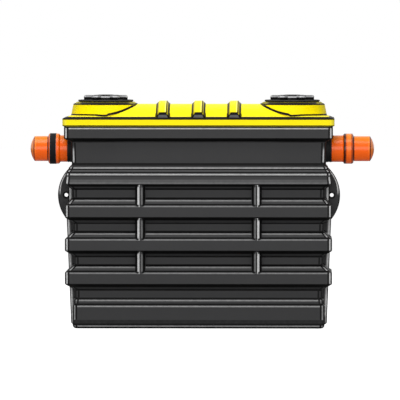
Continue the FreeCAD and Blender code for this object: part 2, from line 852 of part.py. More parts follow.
def distribution_tray():
    """Open tray on the media, whose slots spread the inflow over the whole bed."""
    x1 = media_left + media_blocks * media_pitch
    half = inner_depth / 2.0
    floor = tray_z + tray_wall
    tray = box(media_left, x1, -half, half, tray_z, tray_z + tray_height)
    edge = tray_wall
    tray = tray.cut(box(media_left + edge, x1 - edge, -half + edge, half - edge, floor, tray_z + tray_height))
    return slotted(tray, media_left, x1, slot_pitch, tray_slot_width, tray_slot_length, tray_z, floor)


def inlet_elbow():
    """Elbow on the inner end of the inlet pipe, which turns the flow down onto the tray."""
    sleeve_end = -pipe_inner_reach
    sleeve = [
        (sleeve_end - sleeve_length, socket_bore),
        (sleeve_end - sleeve_length, socket_radius),
        (sleeve_end + pipe_wall, socket_radius),
        (sleeve_end + pipe_wall, bore_radius),
        (sleeve_end, bore_radius),
        (sleeve_end, socket_bore),
    ]
    elbow = turned(sleeve, Vector(0, 0, pipe_z), X_AXIS)
    start = Vector(sleeve_end + pipe_wall, 0, pipe_z)
    corner = start + X_AXIS * elbow_radius
    cut = elbow_radius * math.tan(math.pi / 8.0)
    route = [start, start + X_AXIS * cut, corner - Z_AXIS * (elbow_radius - cut)]
    route.append(corner - Z_AXIS * (elbow_radius + elbow_drop))
    path = Part.makePolygon(route)
    runs = []
    for radius in (pipe_radius, bore_radius):
        section = Part.Wire(Part.makeCircle(radius, start, X_AXIS))
        runs.append(path.makePipeShell([section], True, False, 1))
    return elbow.fuse(runs[0]).cut(runs[1])


def outlet_tee():
    """Tee on the inner end of the outlet pipe: the riser comes up into it and its top lets air in."""
    low = pipe_z - tee_drop
    high = pipe_z + tee_rise
    seat = low + sleeve_length
    body = cylinder(socket_radius, low, seat + pipe_wall, riser_x).fuse(cylinder(pipe_radius, low, high, riser_x))
    sleeve_start = pipe_inner_reach - pipe_wall
    sleeve_end = pipe_inner_reach + sleeve_length
    branch = turned([(riser_x, 0), (riser_x, pipe_radius), (sleeve_start, pipe_radius), (sleeve_start, 0)],
                    Vector(0, 0, pipe_z), X_AXIS)
    sleeve = turned([(sleeve_start, 0), (sleeve_start, socket_radius), (sleeve_end, socket_radius), (sleeve_end, 0)],
                    Vector(0, 0, pipe_z), X_AXIS)
    tee = body.fuse([branch, sleeve])
    bores = [cylinder(bore_radius, low, high, riser_x), cylinder(socket_bore, low, seat, riser_x)]
    bores.append(turned([(riser_x, 0), (riser_x, bore_radius), (sleeve_end, bore_radius), (sleeve_end, 0)],
                        Vector(0, 0, pipe_z), X_AXIS))
    bores.append(turned([(pipe_inner_reach, 0), (pipe_inner_reach, socket_bore), (sleeve_end, socket_bore),
                         (sleeve_end, 0)], Vector(0, 0, pipe_z), X_AXIS))
    return tee.cut(bores)


def outlet_riser():
    """Pipe from the sump up to the tee, standing on the tank's floor, with windows at its foot."""
    top = pipe_z - tee_drop + sleeve_length
    riser = cylinder(pipe_radius, tank_wall, top, riser_x).cut(cylinder(bore_radius, tank_wall, top, riser_x))
    half = riser_window_width / 2.0
    high = tank_wall + riser_window_height
    reach = pipe_diameter
    windows = [box(riser_x - reach, riser_x + reach, -half, half, tank_wall - 1.0, high)]
    windows.append(box(riser_x - half, riser_x + half, -reach, reach, tank_wall - 1.0, high))
    return riser.cut(windows)


def build():
    """Every piece of the tank by node name."""
    left = socket_places(grommet_flange_left, socket_left, bead_left)
    right = socket_places(grommet_flange_right, socket_right, bead_right)
    nodes = {
        "tank_body": tank_body(),
        "cover_seal": cover_seal(),
        "cover": cover(),
        "grommet_left": pipe_grommet(-1, grommet_flange_left),
        "grommet_right": pipe_grommet(1, grommet_flange_right),
        "socket_pipe_left": pipe_socket(-1, left),
        "socket_pipe_right": pipe_socket(1, right),
        "socket_ring_left": socket_ring(-1, left),
        "socket_ring_right": socket_ring(1, right),
        "socket_band_left": socket_band(-1, left),
        "spigot_left": pipe_spigot(-1, left, spigot_left),
        "spigot_right": pipe_spigot(1, right, spigot_right),
        "plug_left": pipe_plug(-1, left, spigot_left),
        "plug_right": pipe_plug(1, right, spigot_right),
        "grate_legs": grate_legs(),
        "support_grate": support_grate(),
        "distribution_tray": distribution_tray(),
        "inlet_elbow": inlet_elbow(),
        "outlet_tee": outlet_tee(),
        "outlet_riser": outlet_riser(),
    }
    for side, name in ((-1, "left"), (1, "right")):
        nodes["cap_seal_" + name] = cap_seal(side)
        nodes["screw_cap_" + name] = screw_cap(side)
    for index in range(media_blocks):
        nodes["media_block_" + str(index + 1)] = media_block(index)
    return nodes


os.makedirs("parts", exist_ok=True)
for name, shape in build().items():
    shape.exportStep("parts/" + name + ".step")
    print(name, len(shape.Solids), shape.isValid(), round(shape.Volume / 1000.0))
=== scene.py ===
import math

import bmesh
import bpy
import numpy as np
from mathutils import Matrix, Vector


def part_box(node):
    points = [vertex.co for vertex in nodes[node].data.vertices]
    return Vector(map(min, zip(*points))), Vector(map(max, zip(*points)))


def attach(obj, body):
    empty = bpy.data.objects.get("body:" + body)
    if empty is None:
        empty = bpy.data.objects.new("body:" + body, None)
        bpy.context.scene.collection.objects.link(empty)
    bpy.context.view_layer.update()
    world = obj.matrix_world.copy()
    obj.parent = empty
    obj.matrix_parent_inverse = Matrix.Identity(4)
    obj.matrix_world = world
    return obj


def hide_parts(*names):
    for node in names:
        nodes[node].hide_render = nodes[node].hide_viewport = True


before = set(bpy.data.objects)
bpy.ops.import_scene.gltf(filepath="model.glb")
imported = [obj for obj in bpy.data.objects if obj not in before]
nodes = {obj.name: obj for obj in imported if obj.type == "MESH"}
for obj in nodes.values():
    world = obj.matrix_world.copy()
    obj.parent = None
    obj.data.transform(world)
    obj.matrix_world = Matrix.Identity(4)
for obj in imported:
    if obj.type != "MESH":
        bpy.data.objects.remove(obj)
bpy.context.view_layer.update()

# The tank's shell: one hollow moulding of black polyethylene with four rib belts, leaning walls, upright
# ties, a fin down each end and a flange collar at its mouth. It is spun in a mould, so every edge is
# rounded and its skin has a fine grain. Its proud edges carry painted highlights, its grooves painted shade.
tank_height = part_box("tank_body")[1][2]
seal_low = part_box("cover_seal")[0]
collar_half = -seal_low[0]
side_shift = collar_half + seal_low[1]
belt_half = collar_half - 0.0035
wall_inset = 0.0465
wall_lean = 0.0236
shell_corner = 0.012
belt_count = 4
belt_first = 0.222
belt_pitch = 0.1463
belt_face = 0.026
belt_end = 0.052
belt_round = 0.0075
top_belt = belt_first + (belt_count - 1) * belt_pitch


def wall_half(z):
    """Half length of the plain wall at height z: a straight line that leans out."""
    return belt_half - wall_inset + wall_lean * z


def eased(corners, steps=4, longest=0.03, margin=0.0022):
    """Line through corners (a, b, radius), each corner swapped for an arc that touches both its sides.

    With d1 the direction before a corner that turns by t, the arc starts radius * tan(t / 2) before it, and
    is start + d1 * radius * sin(s) + n * radius * (1 - cos(s)) for s from 0 to t, n being the unit vector
    across d1. Straight runs are divided so that no part is longer than longest, and get a point at margin
    from each end. Returns the points, and beside them +1 on an outside edge, -1 on an inside edge and 0 on
    the flats.
    """
    points = []
    edge = []
    last = len(corners) - 1
    for index, (a, b, radius) in enumerate(corners):
        here = np.array((a, b))
        if radius and 0 < index < last:
            before = here - np.array(corners[index - 1][:2])
            after = np.array(corners[index + 1][:2]) - here
            before /= np.hypot(*before)
            after /= np.hypot(*after)
            turn = math.acos(np.clip(before @ after, -1.0, 1.0))
            side = np.sign(before[0] * after[1] - before[1] * after[0])
            across = side * np.array((-before[1], before[0]))
            start = here - before * radius * math.tan(turn / 2.0)
            angle = np.linspace(0.0, turn, steps + 1)[:, None]
            run = start + before * radius * np.sin(angle) + across * radius * (1.0 - np.cos(angle))
            weight = side * min(1.0, turn / 0.7) * np.sin(np.linspace(0.2, math.pi - 0.2, steps + 1)) ** 0.5
        else:
            run = here[None]
            weight = np.zeros(1)
        if points:
            gap = run[0] - points[-1]
            length = np.hypot(*gap)
            if length > 2.5 * margin:
                count = max(1, math.ceil((length - 2.0 * margin) / longest))
                along = np.linspace(margin, length - margin, count + 1)[:, None] / length
                points.extend(points[-1] + gap * along)
                edge.extend([0.0] * (count + 1))
        points.extend(run)
        edge.extend(weight)
    return np.array(points), np.array(edge)


def joined(a, b, reach):
    """The larger of two heights, with a fillet of about reach where they meet (a smooth maximum)."""
    share = np.clip(0.5 + 0.5 * (a - b) / reach, 0.0, 1.0)
    return a * share + b * (1.0 - share) + reach * share * (1.0 - share)


def ramp(value, start, end):
    """0 before start, 1 after end, and an S curve between."""
    t = np.clip((value - start) / (end - start), 0.0, 1.0)
    return t * t * (3.0 - 2.0 * t)


def cut_at(rise, marks):
    """Rising line (place, height) with one more point at each mark's height, on its straight runs."""
    levels = np.unique(np.concatenate([rise[:, 1], marks[1:-1, 0]]))
    levels = levels[np.diff(levels, prepend=-1.0) > 3e-4]
    return np.stack([np.interp(levels, rise[:, 1], rise[:, 0]), levels], -1)


def bands(*runs):
    """Marks as rows (place, value), from runs that each give some places and then their one value."""
    return np.array([(place, value) for *places, value in runs for place in places])


def marked(line, *runs):
    """Marks along a line: each run's value at its places, and straight slopes from run to run."""
    return np.interp(line, *bands(*runs).T)


def placed(name, data):
    """New object of this data, put into the scene."""
    thing = bpy.data.objects.new(name, data)
    bpy.context.scene.collection.objects.link(thing)
    return thing


def skin(name, rows, body, replaced, edge, ring=True, merge=1e-6, open_at=None, wall=0.0):
    """Mesh of a grid of points (rows, columns, 3), one quad to a cell.

    ring joins the last column to the first. Points that coincide, as at a pole, are merged, and faces are
    turned outwards. edge is kept as a point attribute. Cells with all four points in open_at are left out,
    and wall gives the sheet a thickness inwards.
    """
    count_v, count_u = rows.shape[:2]
    v = np.arange(count_v - 1)[:, None]
    u = np.arange(count_u if ring else count_u - 1)[None, :]
    after = (u + 1) % count_u
    below, above = v * count_u, (v + 1) * count_u
    cells = np.stack([below + u, below + after, above + after, above + u], -1).reshape(-1, 4)
    if open_at is not None:
        cells = cells[~open_at.ravel()[cells].all(1)]
    used, cells = np.unique(cells, return_inverse=True)
    mesh = bpy.data.meshes.new(name)
    mesh.from_pydata(rows.reshape(-1, 3)[used].tolist(), [], cells.reshape(-1, 4).tolist())
    # The edge attribute holds painted highlight above 0 and painted shade below 0.
    painted_light = mesh.attributes.new("edge", "FLOAT", "POINT")
    painted_light.data.foreach_set("value", edge.ravel()[used])
    form = bmesh.new()
    form.from_mesh(mesh)
    bmesh.ops.remove_doubles(form, verts=form.verts, dist=merge)
    bmesh.ops.dissolve_degenerate(form, edges=form.edges, dist=merge)
    bmesh.ops.recalc_face_normals(form, faces=form.faces)
    form.to_mesh(mesh)
    form.free()
    mesh.shade_smooth()
    piece = placed(name, mesh)
    if wall:
        thick = piece.modifiers.new("wall", "SOLIDIFY")
        thick.thickness = wall
        thick.offset = -1.0
    weighted = piece.modifiers.new("even_shading", "WEIGHTED_NORMAL")
    weighted.keep_sharp = True
    weighted.weight = 60
    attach(piece, body)
    if replaced:
        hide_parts(*replaced)
    return piece


def box_columns(length_stops, side_stops, corner_steps=6, beyond=()):
    """Columns of a rounded rectangle, right round it from its right end: fixed stops on each side, and arcs.

    Each column is (sx, sy, stop, angle, edge, past_end, past_side). On a side the stop is a place along it.
    On a corner the angle turns from the end (0) to the long side (90 degrees), and beyond gives the
    distances past both ends of the arc at which the flats get a column too.
    """
    bend = np.linspace(0.0, math.pi / 2.0, corner_steps + 1)
    past = np.array(beyond)
    none = np.zeros(len(past))
    corner = np.stack([
        np.concatenate([none, bend, none + math.pi / 2.0]),
        np.concatenate([none, np.sin(2.0 * bend) ** 0.5, none]),
        np.concatenate([past[::-1], 0.0 * bend, none]),
        np.concatenate([none, 0.0 * bend, past]),
    ], -1)
    columns = []
    for sx, sy in ((1, 1), (-1, 1), (-1, -1), (1, -1)):
        columns.extend((sx, sy, np.nan, *values) for values in (corner if sx == sy else corner[::-1]))
        if sx == sy:
            columns.extend((0, sy, -sx * stop, 0.0, 0.0, 0.0, 0.0) for stop in length_stops)
        else:
            columns.extend((sx, 0, sx * stop, 0.0, 0.0, 0.0, 0.0) for stop in side_stops)
    return np.array(columns)


def boxed(columns, half_x, half_y, radius):
    """Points of the columns on rounded rectangles, one for each row of half_x, half_y and radius.

    On a corner a point is the arc's centre plus radius * (cos angle, sin angle), less what it stands past the
    arc; on a side it is its stop, held between the two corners.
    """
    sx, sy, stop, angle, _, past_end, past_side = columns.T
    half_x, half_y, radius = [np.asarray(value)[:, None] for value in (half_x, half_y, radius)]
    flat_x = np.maximum(half_x - radius - past_side.max(), 0.0)
    flat_y = np.maximum(half_y - radius - past_end.max(), 0.0)
    corner = np.isnan(stop)
    place = np.nan_to_num(stop)
    corner_x = np.maximum(half_x - radius + radius * np.cos(angle) - past_side, 0.0)
    corner_y = np.maximum(half_y - radius + radius * np.sin(angle) - past_end, 0.0)
    side_x = np.where(sx == 0, np.clip(place, -flat_x, flat_x), sx * half_x)
    side_y = np.where(sy == 0, np.clip(place, -flat_y, flat_y), sy * half_y)
    return np.where(corner, sx * corner_x, side_x), np.where(corner, sy * corner_y, side_y)


foot_half = wall_half(0.0) + 0.014
foot_top = 0.101
section = [
    (0.0, 0.0, 0.0), (foot_half, 0.0, 0.016), (foot_half, foot_top, 0.004),
    (foot_half - 0.005, 0.106, 0.0015), (wall_half(0.127) + 0.003, 0.127, 0.002),
    (wall_half(0.134), 0.134, 0.0015),
]
for belt in range(belt_count):
    middle = belt_first + belt * belt_pitch
    section += [
        (wall_half(middle - belt_end), middle - belt_end, 0.004), (belt_half, middle - belt_face, belt_round),
    ]
    if belt < belt_count - 1:
        section += [
            (belt_half, middle + belt_face, 0.005), (belt_half - 0.009, middle + 0.031, 0.0015),
            (wall_half(middle + 0.052) + 0.009, middle + 0.052, 0.003),
            (wall_half(middle + 0.0575), middle + 0.0575, 0.002),
        ]
top_half = belt_half - 0.003
section += [(top_half, top_belt, 0.0), (top_half, top_belt + 0.018, 0.004)]
for out, height, radius in ((0.023, 0.0235, 0.002), (0.022, 0.0285, 0.002), (0.014, 0.037, 0.003),
                            (0.013, 0.045, 0.003), (0.0, 0.059, 0.004)):
    section.append((wall_half(top_belt + height) + out, top_belt + height, radius))
collar_foot = tank_height - 0.051
mouth_half = collar_half - 0.028
section += [
    (wall_half(collar_foot - 0.015), collar_foot - 0.015, 0.004), (collar_half, collar_foot, 0.007),
    (collar_half, tank_height, 0.003), (mouth_half, tank_height, 0.002),
]
outline, _ = eased(section, steps=3, longest=0.011)

# Painted highlights (up to 1.3) and painted shade (down to -1) on the outer face, by height. Each belt has
# painted dark lines over and under its two top ledges, painted highlights on their edges, and painted shade
# under its lower edge
belt_marks = bands(
    (-0.0570, 0.0), (-0.0552, -0.0515, -0.80), (-0.0495, -0.0400, -0.22), (-0.0380, -0.0260, -1.0),
    (-0.0238, 0.05), (0.0180, 0.0), (0.0200, 0.0252, 0.38), (0.0268, 0.0330, -1.0), (0.0348, 0.05),
    (0.0430, 0.10), (0.0448, 0.0500, 0.42), (0.0520, 0.0600, -1.0), (0.0618, 0.0),
)
foot_marks = bands(
    (0.0, 0.0070, -1.0), (0.0082, 0.0132, 1.1), (0.0144, 0.0215, -1.0), (0.0235, 0.0370, -0.43),
    (0.0390, -0.25), (0.0415, 0.0935, 0.0), (0.0952, 0.1005, 0.55), (0.1022, 0.1095, -1.0),
    (0.1112, 0.1190, 0.05), (0.1208, 0.1262, 0.52), (0.1280, 0.1350, -1.0), (0.1370, 0.0),
)
top_marks = bands(
    (-0.0530, 0.0), (-0.0510, -0.0465, -0.8), (-0.0445, -0.0390, -0.22), (-0.0370, -0.0288, -1.0),
    (-0.0265, 0.34), (-0.0215, 0.32), (-0.0190, -0.0080, 0.18), (-0.0040, 0.05), (0.0050, 0.0),
    (0.0070, 0.0110, -0.35), (0.0128, 0.0188, 0.72), (0.0205, 0.0262, -1.0), (0.0280, 0.12),
    (0.0342, 0.14), (0.0358, 0.0398, -1.0), (0.0412, 0.0460, 0.62), (0.0478, -0.15), (0.0540, -0.43),
    (0.0555, 0.0640, -1.0), (0.0660, 0.0),
)
collar_marks = bands(
    (-0.0800, 0.0), (-0.0700, -0.22), (-0.0635, -0.43), (-0.0610, -0.0500, -1.0), (-0.0475, -0.22),
    (-0.0440, -0.0100, 0.0), (-0.0085, -0.0040, 0.90), (-0.0025, 0.0, -1.0),
)
lower_marks = [belt_marks + (belt_first + belt * belt_pitch, 0.0) for belt in range(belt_count - 1)]
upper_marks = [top_marks + (top_belt, 0.0), collar_marks + (tank_height, 0.0)]
marks = np.concatenate([foot_marks, *lower_marks, *upper_marks])
rising = (np.diff(outline[:, 1], prepend=-1.0) > 1e-6) | (np.diff(outline[:, 1], append=2.0) > 1e-6)
first, last = np.flatnonzero(rising & (outline[:, 1] < tank_height + 1e-6))[[1, -1]]
rise = cut_at(outline[first:last + 1], marks)
tank_wall = 0.006
lining = np.array([
    (mouth_half, tank_height - 0.012), (wall_half(0.84) - tank_wall, 0.84),
    (wall_half(0.02) - tank_wall, 0.02), (wall_half(tank_wall) - 0.02, tank_wall), (0.0, tank_wall),
])
outer_rows = first + len(rise)
outline = np.vstack([outline[:first], rise, outline[last + 1:], lining])
row_half, row_z = outline.T
row_mark = np.interp(row_z, *marks.T) * (np.arange(len(outline)) < outer_rows)

# Ties: short upright ribs across each groove, with round ends and a crease down the middle. The fin down
# each end has round edges. The grid's columns lie closest at these edges
tie_middle = 0.255
tie_reach = 0.1635
tie_stops = np.array([0.0, 0.0018, 0.0028, 0.011, 0.0125, 0.014, 0.0155, 0.0165, 0.0205, 0.0225, 0.0245])
tie_lines = np.concatenate([-tie_stops[:0:-1], tie_stops])
length_stops = np.concatenate([
    np.linspace(-0.510, -0.300, 6),
    -tie_middle + tie_lines,
    np.linspace(-0.210, 0.210, 3),
    tie_middle + tie_lines,
    np.linspace(0.300, 0.510, 6),
])
fin_stops = np.array([
    0.0, 0.008, 0.016, 0.020, 0.0225, 0.025, 0.0275, 0.029, 0.0296, 0.030, 0.0304, 0.0315, 0.034, 0.038,
])
end_stops = np.concatenate([
    -np.arange(0.098, 0.040, -0.004), -fin_stops[:0:-1], fin_stops, np.arange(0.042, 0.100, 0.004),
])
columns = box_columns(length_stops, end_stops, 7, (0.0017, 0.0032, 0.0067, 0.009))
row_side = np.maximum(row_half - side_shift, 0.0)
shell_x, shell_y = boxed(columns, row_half, row_side, np.minimum(shell_corner, row_side))
shell_z = np.repeat(row_z[:, None], len(columns), 1)
on_long_side = (columns[:, 0] == 0)[None, :]
on_end = (columns[:, 1] == 0)[None, :]
outer = (np.arange(len(outline)) < outer_rows)[:, None]

over_belt = np.mod(shell_z - belt_first, belt_pitch)
in_grooves = (shell_z > belt_first) & (shell_z < top_belt) & on_long_side & outer
groove_middle = 0.0684
tie_straight = 0.0358
tie_tip = 0.013
to_tip = np.clip((np.abs(over_belt - groove_middle) - tie_straight) / tie_tip, 0.0, 1.0)
tie_share = np.sqrt(1.0 - to_tip**2)
aside = np.abs(shell_x) - tie_middle
across = np.abs(aside) / np.maximum(tie_share, 0.05)
tie_round = 0.0055
into_round = np.clip(across - 0.0110, 0.0, tie_round)
tie_depth = tie_reach - tie_round + np.sqrt(tie_round**2 - into_round**2)
crease_half = 0.0022
tie_depth = tie_depth - 0.0015 * np.clip(1.0 - across / crease_half, 0.0, 1.0)
tie_depth = tie_depth - np.clip((across - 0.0165) / 0.005, 0.0, 1.0) * 0.055
tied = in_grooves & (tie_share > 0.1) & (across < 0.024)
bare = np.abs(shell_y)
depth = np.where(tied, joined(tie_depth, bare, 0.003), bare)
panel_rise = 0.006 * (1.0 - ramp(np.abs(shell_x), 0.345, 0.400))
panel_zone = ramp(shell_z, top_belt + 0.045, top_belt + 0.050)
panel_zone = panel_zone * (1.0 - ramp(shell_z, collar_foot - 0.012, collar_foot - 0.006))
panel_depth = wall_half(shell_z) - side_shift + panel_rise
raised = on_long_side & outer & (panel_rise > 0)
depth = np.where(raised, depth + (joined(panel_depth, depth, 0.003) - depth) * panel_zone, depth)
shell_y = np.where(on_long_side & outer, np.sign(shell_y) * depth, shell_y)

fin_reach = np.minimum(0.5640 + 0.041 * (shell_z - 0.05), 0.583 - 0.0095 * ramp(shell_z, 0.49, 0.52))
fin_round = 0.009
fin_half = 0.030
into_fin = np.clip(np.abs(shell_y) - (fin_half - fin_round), 0.0, fin_round)
fin_out = fin_reach - fin_round + np.sqrt(fin_round**2 - into_fin**2)
fin_out = fin_out - np.clip((np.abs(shell_y) - fin_half) / 0.004, 0.0, 1.0) * 0.06
fin_toe = 0.010
foot_drop = np.clip(0.024 - shell_z, 0.0, fin_toe)
fin_out = fin_out - fin_toe + np.sqrt(fin_toe**2 - foot_drop**2)
fin_zone = ramp(shell_z, 0.012, 0.0145) * (1.0 - ramp(shell_z, top_belt - 0.004, top_belt + 0.004))
bare = np.abs(shell_x)
reach = np.where(on_end & outer, bare + (joined(fin_out, bare, 0.004) - bare) * fin_zone, bare)
proud = reach - bare
spigot_low, spigot_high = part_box("spigot_left")
pipe_z = (spigot_low[2] + spigot_high[2]) / 2.0
from_pipe = np.hypot(shell_y, shell_z - pipe_z)
pad_face = 0.559
pad_zone = 1.0 - ramp(from_pipe, 0.066, 0.070)
on_wall = on_end & outer
reach = np.where(on_wall & (shell_z < tank_height - 0.02), reach + (pad_face - reach) * pad_zone, reach)
shell_x = np.where(on_wall, np.sign(shell_x) * reach, shell_x)

# Painted marks across: dark lines and highlights at the upright corners, on the ties and on the fins' tips
along_arc = columns[:, 3] * shell_corner - columns[:, 5] + columns[:, 6]
round_corner = np.where(np.isnan(columns[:, 2]), along_arc, 1.0)
dull_corner, bright_corner = [
    marked(round_corner, (-0.006, 0.0), (0.0, 0.0105, -1.0), (0.0122, 0.0190, lightness),
           (0.0205, 0.0255, -1.0), (0.028, 0.0))
    for lightness in (0.1, 0.95)
]
belt_share = np.clip((row_half - wall_half(row_z)) / 0.030, 0.0, 1.0)[:, None]
belt_share = np.maximum(belt_share, (ramp(row_z, 0.725, 0.735) * (1.0 - ramp(row_z, 0.775, 0.800)))[:, None])
corner_mark = (dull_corner + (bright_corner - dull_corner) * belt_share) * outer
across_rows = row_mark[:, None]
shell_edge = np.where(across_rows < -0.25, across_rows, np.maximum(across_rows, corner_mark))
shell_edge = np.where((corner_mark < -0.2) & (shell_edge > -0.25), corner_mark, shell_edge)
bright_tie, dull_tie = [
    marked(across, (0.0018, -0.9), (0.0028, 0.011, lightness), (0.0125, 0.0205, -1.0), (0.0225, 0.0))
    for lightness in (1.0, 0.25)
]
shell_edge = np.where(tied & (across < 0.0225), np.where(aside > 0.0, bright_tie, dull_tie), shell_edge)
shell_edge = np.where(on_wall, shell_edge * (1.0 - pad_zone) * (proud < 0.003), shell_edge)
from_tip = fin_reach - reach
fin_mark = marked(from_tip, (0.0, 0.003, -1.0), (0.0042, 0.0135, 1.3), (0.0152, 0.022, 0.0))
shell_edge = np.where(on_wall & (proud >= 0.003) & (np.abs(shell_y) > 0.0195), fin_mark, shell_edge)
shell_grid = np.stack([shell_x, shell_y, shell_z], -1)
tank_pieces = [skin("tank_shell", shell_grid, "tank", ["tank_body"], shell_edge)]

# Lifting ears: plates that grow out of the end fins, as part of the same moulding, each with a round hole
# for a hook inside a thicker ring.
ear_radius = 0.167
ear_reach = 0.6205
ear_z = 0.582
ear_hole = 0.584
ear_inner = 0.548
ear_half = 0.010
hook_radius = 0.0085
ends = ((-1, "left"), (1, "right"))
turn = np.linspace(0.0, 2.0 * math.pi, 160, endpoint=False)
heading = np.stack([np.cos(turn), np.sin(turn)], -1)
to_hole = ear_hole - (ear_reach - ear_radius)
to_arc = -heading[:, 0] * to_hole + np.sqrt(ear_radius**2 - to_hole**2 + (heading[:, 0] * to_hole) ** 2)
to_wall = np.where(heading[:, 0] < -1e-3, (ear_hole - ear_inner) / np.maximum(-heading[:, 0], 1e-3), 1.0)
ear_outline = np.minimum(to_arc, to_wall)
ring_side, _ = eased([
    (hook_radius, 0.0, 0.0), (hook_radius, 0.012, 0.0015), (0.013, 0.012, 0.0015), (0.0145, ear_half, 0.001),
    (0.0165, ear_half, 0.0), (0.0175, ear_half, 0.0),
], longest=0.003)
rim_side, _ = eased([
    (0.016, ear_half, 0.0), (0.0138, ear_half, 0.0), (0.0122, ear_half, 0.0), (0.0062, ear_half, 0.0),
    (0.0046, ear_half, 0.0), (0.0, ear_half, 0.005), (0.0, 0.0, 0.0),
], longest=0.02)
for side, name in ends:
    near = np.repeat(ring_side[:, None], len(turn), 1)
    far = np.stack([ear_outline - rim_side[:, :1], np.repeat(rim_side[:, 1:], len(turn), 1)], -1)
    far[..., 0] = np.maximum(far[..., 0], ring_side[-1, 0] + 1e-4)
    half_grid = np.concatenate([near, far])
    z = ear_z + far[..., 0] * heading[:, 1]
    # Painted marks: a dark outline round the ear, a painted highlight just inside it on the upper part only,
    # where light from above falls, and the ring round the hole painted dark.
    lit = ramp(z, ear_z - 0.01, ear_z + 0.035) * (ear_outline < to_wall - 1e-6)
    rim_mark = marked(rim_side[:, :1], (0.002, 0.0046, -1.0), (0.0062, 0.0122, 1.3), (0.0138, 0.0))
    rim_mark = np.where(rim_mark > 0.0, rim_mark * lit, rim_mark)
    ring_mark = marked(ring_side[:, :1], (0.0155, -0.9), (0.0165, 0.0)) * np.ones(len(turn))
    half_edge = np.concatenate([ring_mark, rim_mark])
    whole = np.concatenate([half_grid, half_grid[-2:0:-1] * (1.0, -1.0), half_grid[:1]])
    whole_edge = np.concatenate([half_edge, half_edge[-2:0:-1], half_edge[:1]])
    x = side * (ear_hole + whole[..., 0] * heading[:, 0])
    z = ear_z + whole[..., 0] * heading[:, 1]
    ear_grid = np.stack([x, whole[..., 1], z], -1)
    tank_pieces.append(skin("lifting_ear_" + name, ear_grid, "tank", ["tank_body"], whole_edge))

# Polyethylene of the shell and ears: near black with a matt grain. The edge attribute paints highlights on
# edges and shade in creases and under edges, and faces that look up are painted lighter, as dust and top
# light.


def added(tree, kind, inputs=(), **settings):
    """New shader node with its settings and its inputs: each a value, or another node's output to link."""
    node = tree.nodes.new("ShaderNode" + kind)
    for name, value in settings.items():
        setattr(node, name, value)
    for name, value in dict(inputs).items():
        if isinstance(value, bpy.types.NodeSocket):
            tree.links.new(value, node.inputs[name])
        else:
            node.inputs[name].default_value = value
    return node


def new_group(name, inputs, outputs):
    """Empty shader group with number sockets of these names, and the sockets in it to link from and to."""
    group = bpy.data.node_groups.new(name, "ShaderNodeTree")
    for way, sockets in (("INPUT", inputs), ("OUTPUT", outputs)):
        for socket in sockets:
            group.interface.new_socket(socket, in_out=way, socket_type="NodeSocketFloat")
    return group, group.nodes.new("NodeGroupInput").outputs, group.nodes.new("NodeGroupOutput").inputs


def grain_group():
    """Shader group: fine grain for a moulded plastic, as a height, and a slow mottle of the colour."""
    group, start, end = new_group("moulded_grain", ["Size"], ["Height", "Mottle"])
    place = added(group, "TexCoord").outputs["Object"]
    fine = added(group, "TexNoise", {"Vector": place, "Scale": start["Size"], "Detail": 3.0,
                                     "Roughness": 0.6})
    slow = added(group, "TexNoise", {"Vector": place, "Scale": 7.0, "Detail": 5.0, "Roughness": 0.65})
    group.links.new(fine.outputs["Fac"], end["Height"])
    group.links.new(slow.outputs["Fac"], end["Mottle"])
    return group


def painted_light_group():
    """Shader group: how much painted highlight, painted shade, and dust and top light a point has.

    The edge attribute gives painted highlight above 0 and painted shade below, both broken up by a noise.
    Faces that look down get less painted highlight, and those that look up are painted lighter, as dust and
    top light.
    """
    group, start, end = new_group("edge_light_paint", ["Break Up"], ["Painted Highlight", "Painted Shade", "Dust And Top Light"])
    place = added(group, "TexCoord").outputs["Object"]
    noise = added(group, "TexNoise", {"Vector": place, "Scale": start["Break Up"], "Detail": 6.0,
                                      "Roughness": 0.7})
    broken = added(group, "MapRange", {"Value": noise.outputs["Fac"], "From Min": 0.30, "From Max": 0.60,
                                       "To Min": 0.65}).outputs["Result"]
    normal = added(group, "NewGeometry").outputs["Normal"]
    upward = added(group, "SeparateXYZ", {"Vector": normal}).outputs["Z"]
    toward_light = added(group, "MapRange", {"Value": upward, "From Min": -0.55, "From Max": 0.0, "To Min": 0.12})
    painted_light = added(group, "Math", {0: broken, 1: toward_light.outputs["Result"]}, operation="MULTIPLY")
    edge = added(group, "Attribute", attribute_name="edge").outputs["Fac"]
    facing = added(group, "MapRange", {"Value": upward, "From Min": 0.35, "From Max": 1.0})
    dust_and_top_light = added(group, "Math", {0: facing.outputs["Result"], 1: broken}, operation="MULTIPLY")
    group.links.new(dust_and_top_light.outputs["Value"], end["Dust And Top Light"])
    for name, low, high, most, share in (("Painted Highlight", 0.1, 1.3, 1.0, painted_light.outputs["Value"]),
                                         ("Painted Shade", -0.05, -0.85, 1.5, broken)):
        part = added(group, "MapRange", {"Value": edge, "From Min": low, "From Max": high, "To Max": most})
        times = added(group, "Math", {0: part.outputs["Result"], 1: share},
                      operation="MULTIPLY", use_clamp=True)
        group.links.new(times.outputs["Value"], end[name])
    return group


grain = grain_group()
light_paint_tree = painted_light_group()


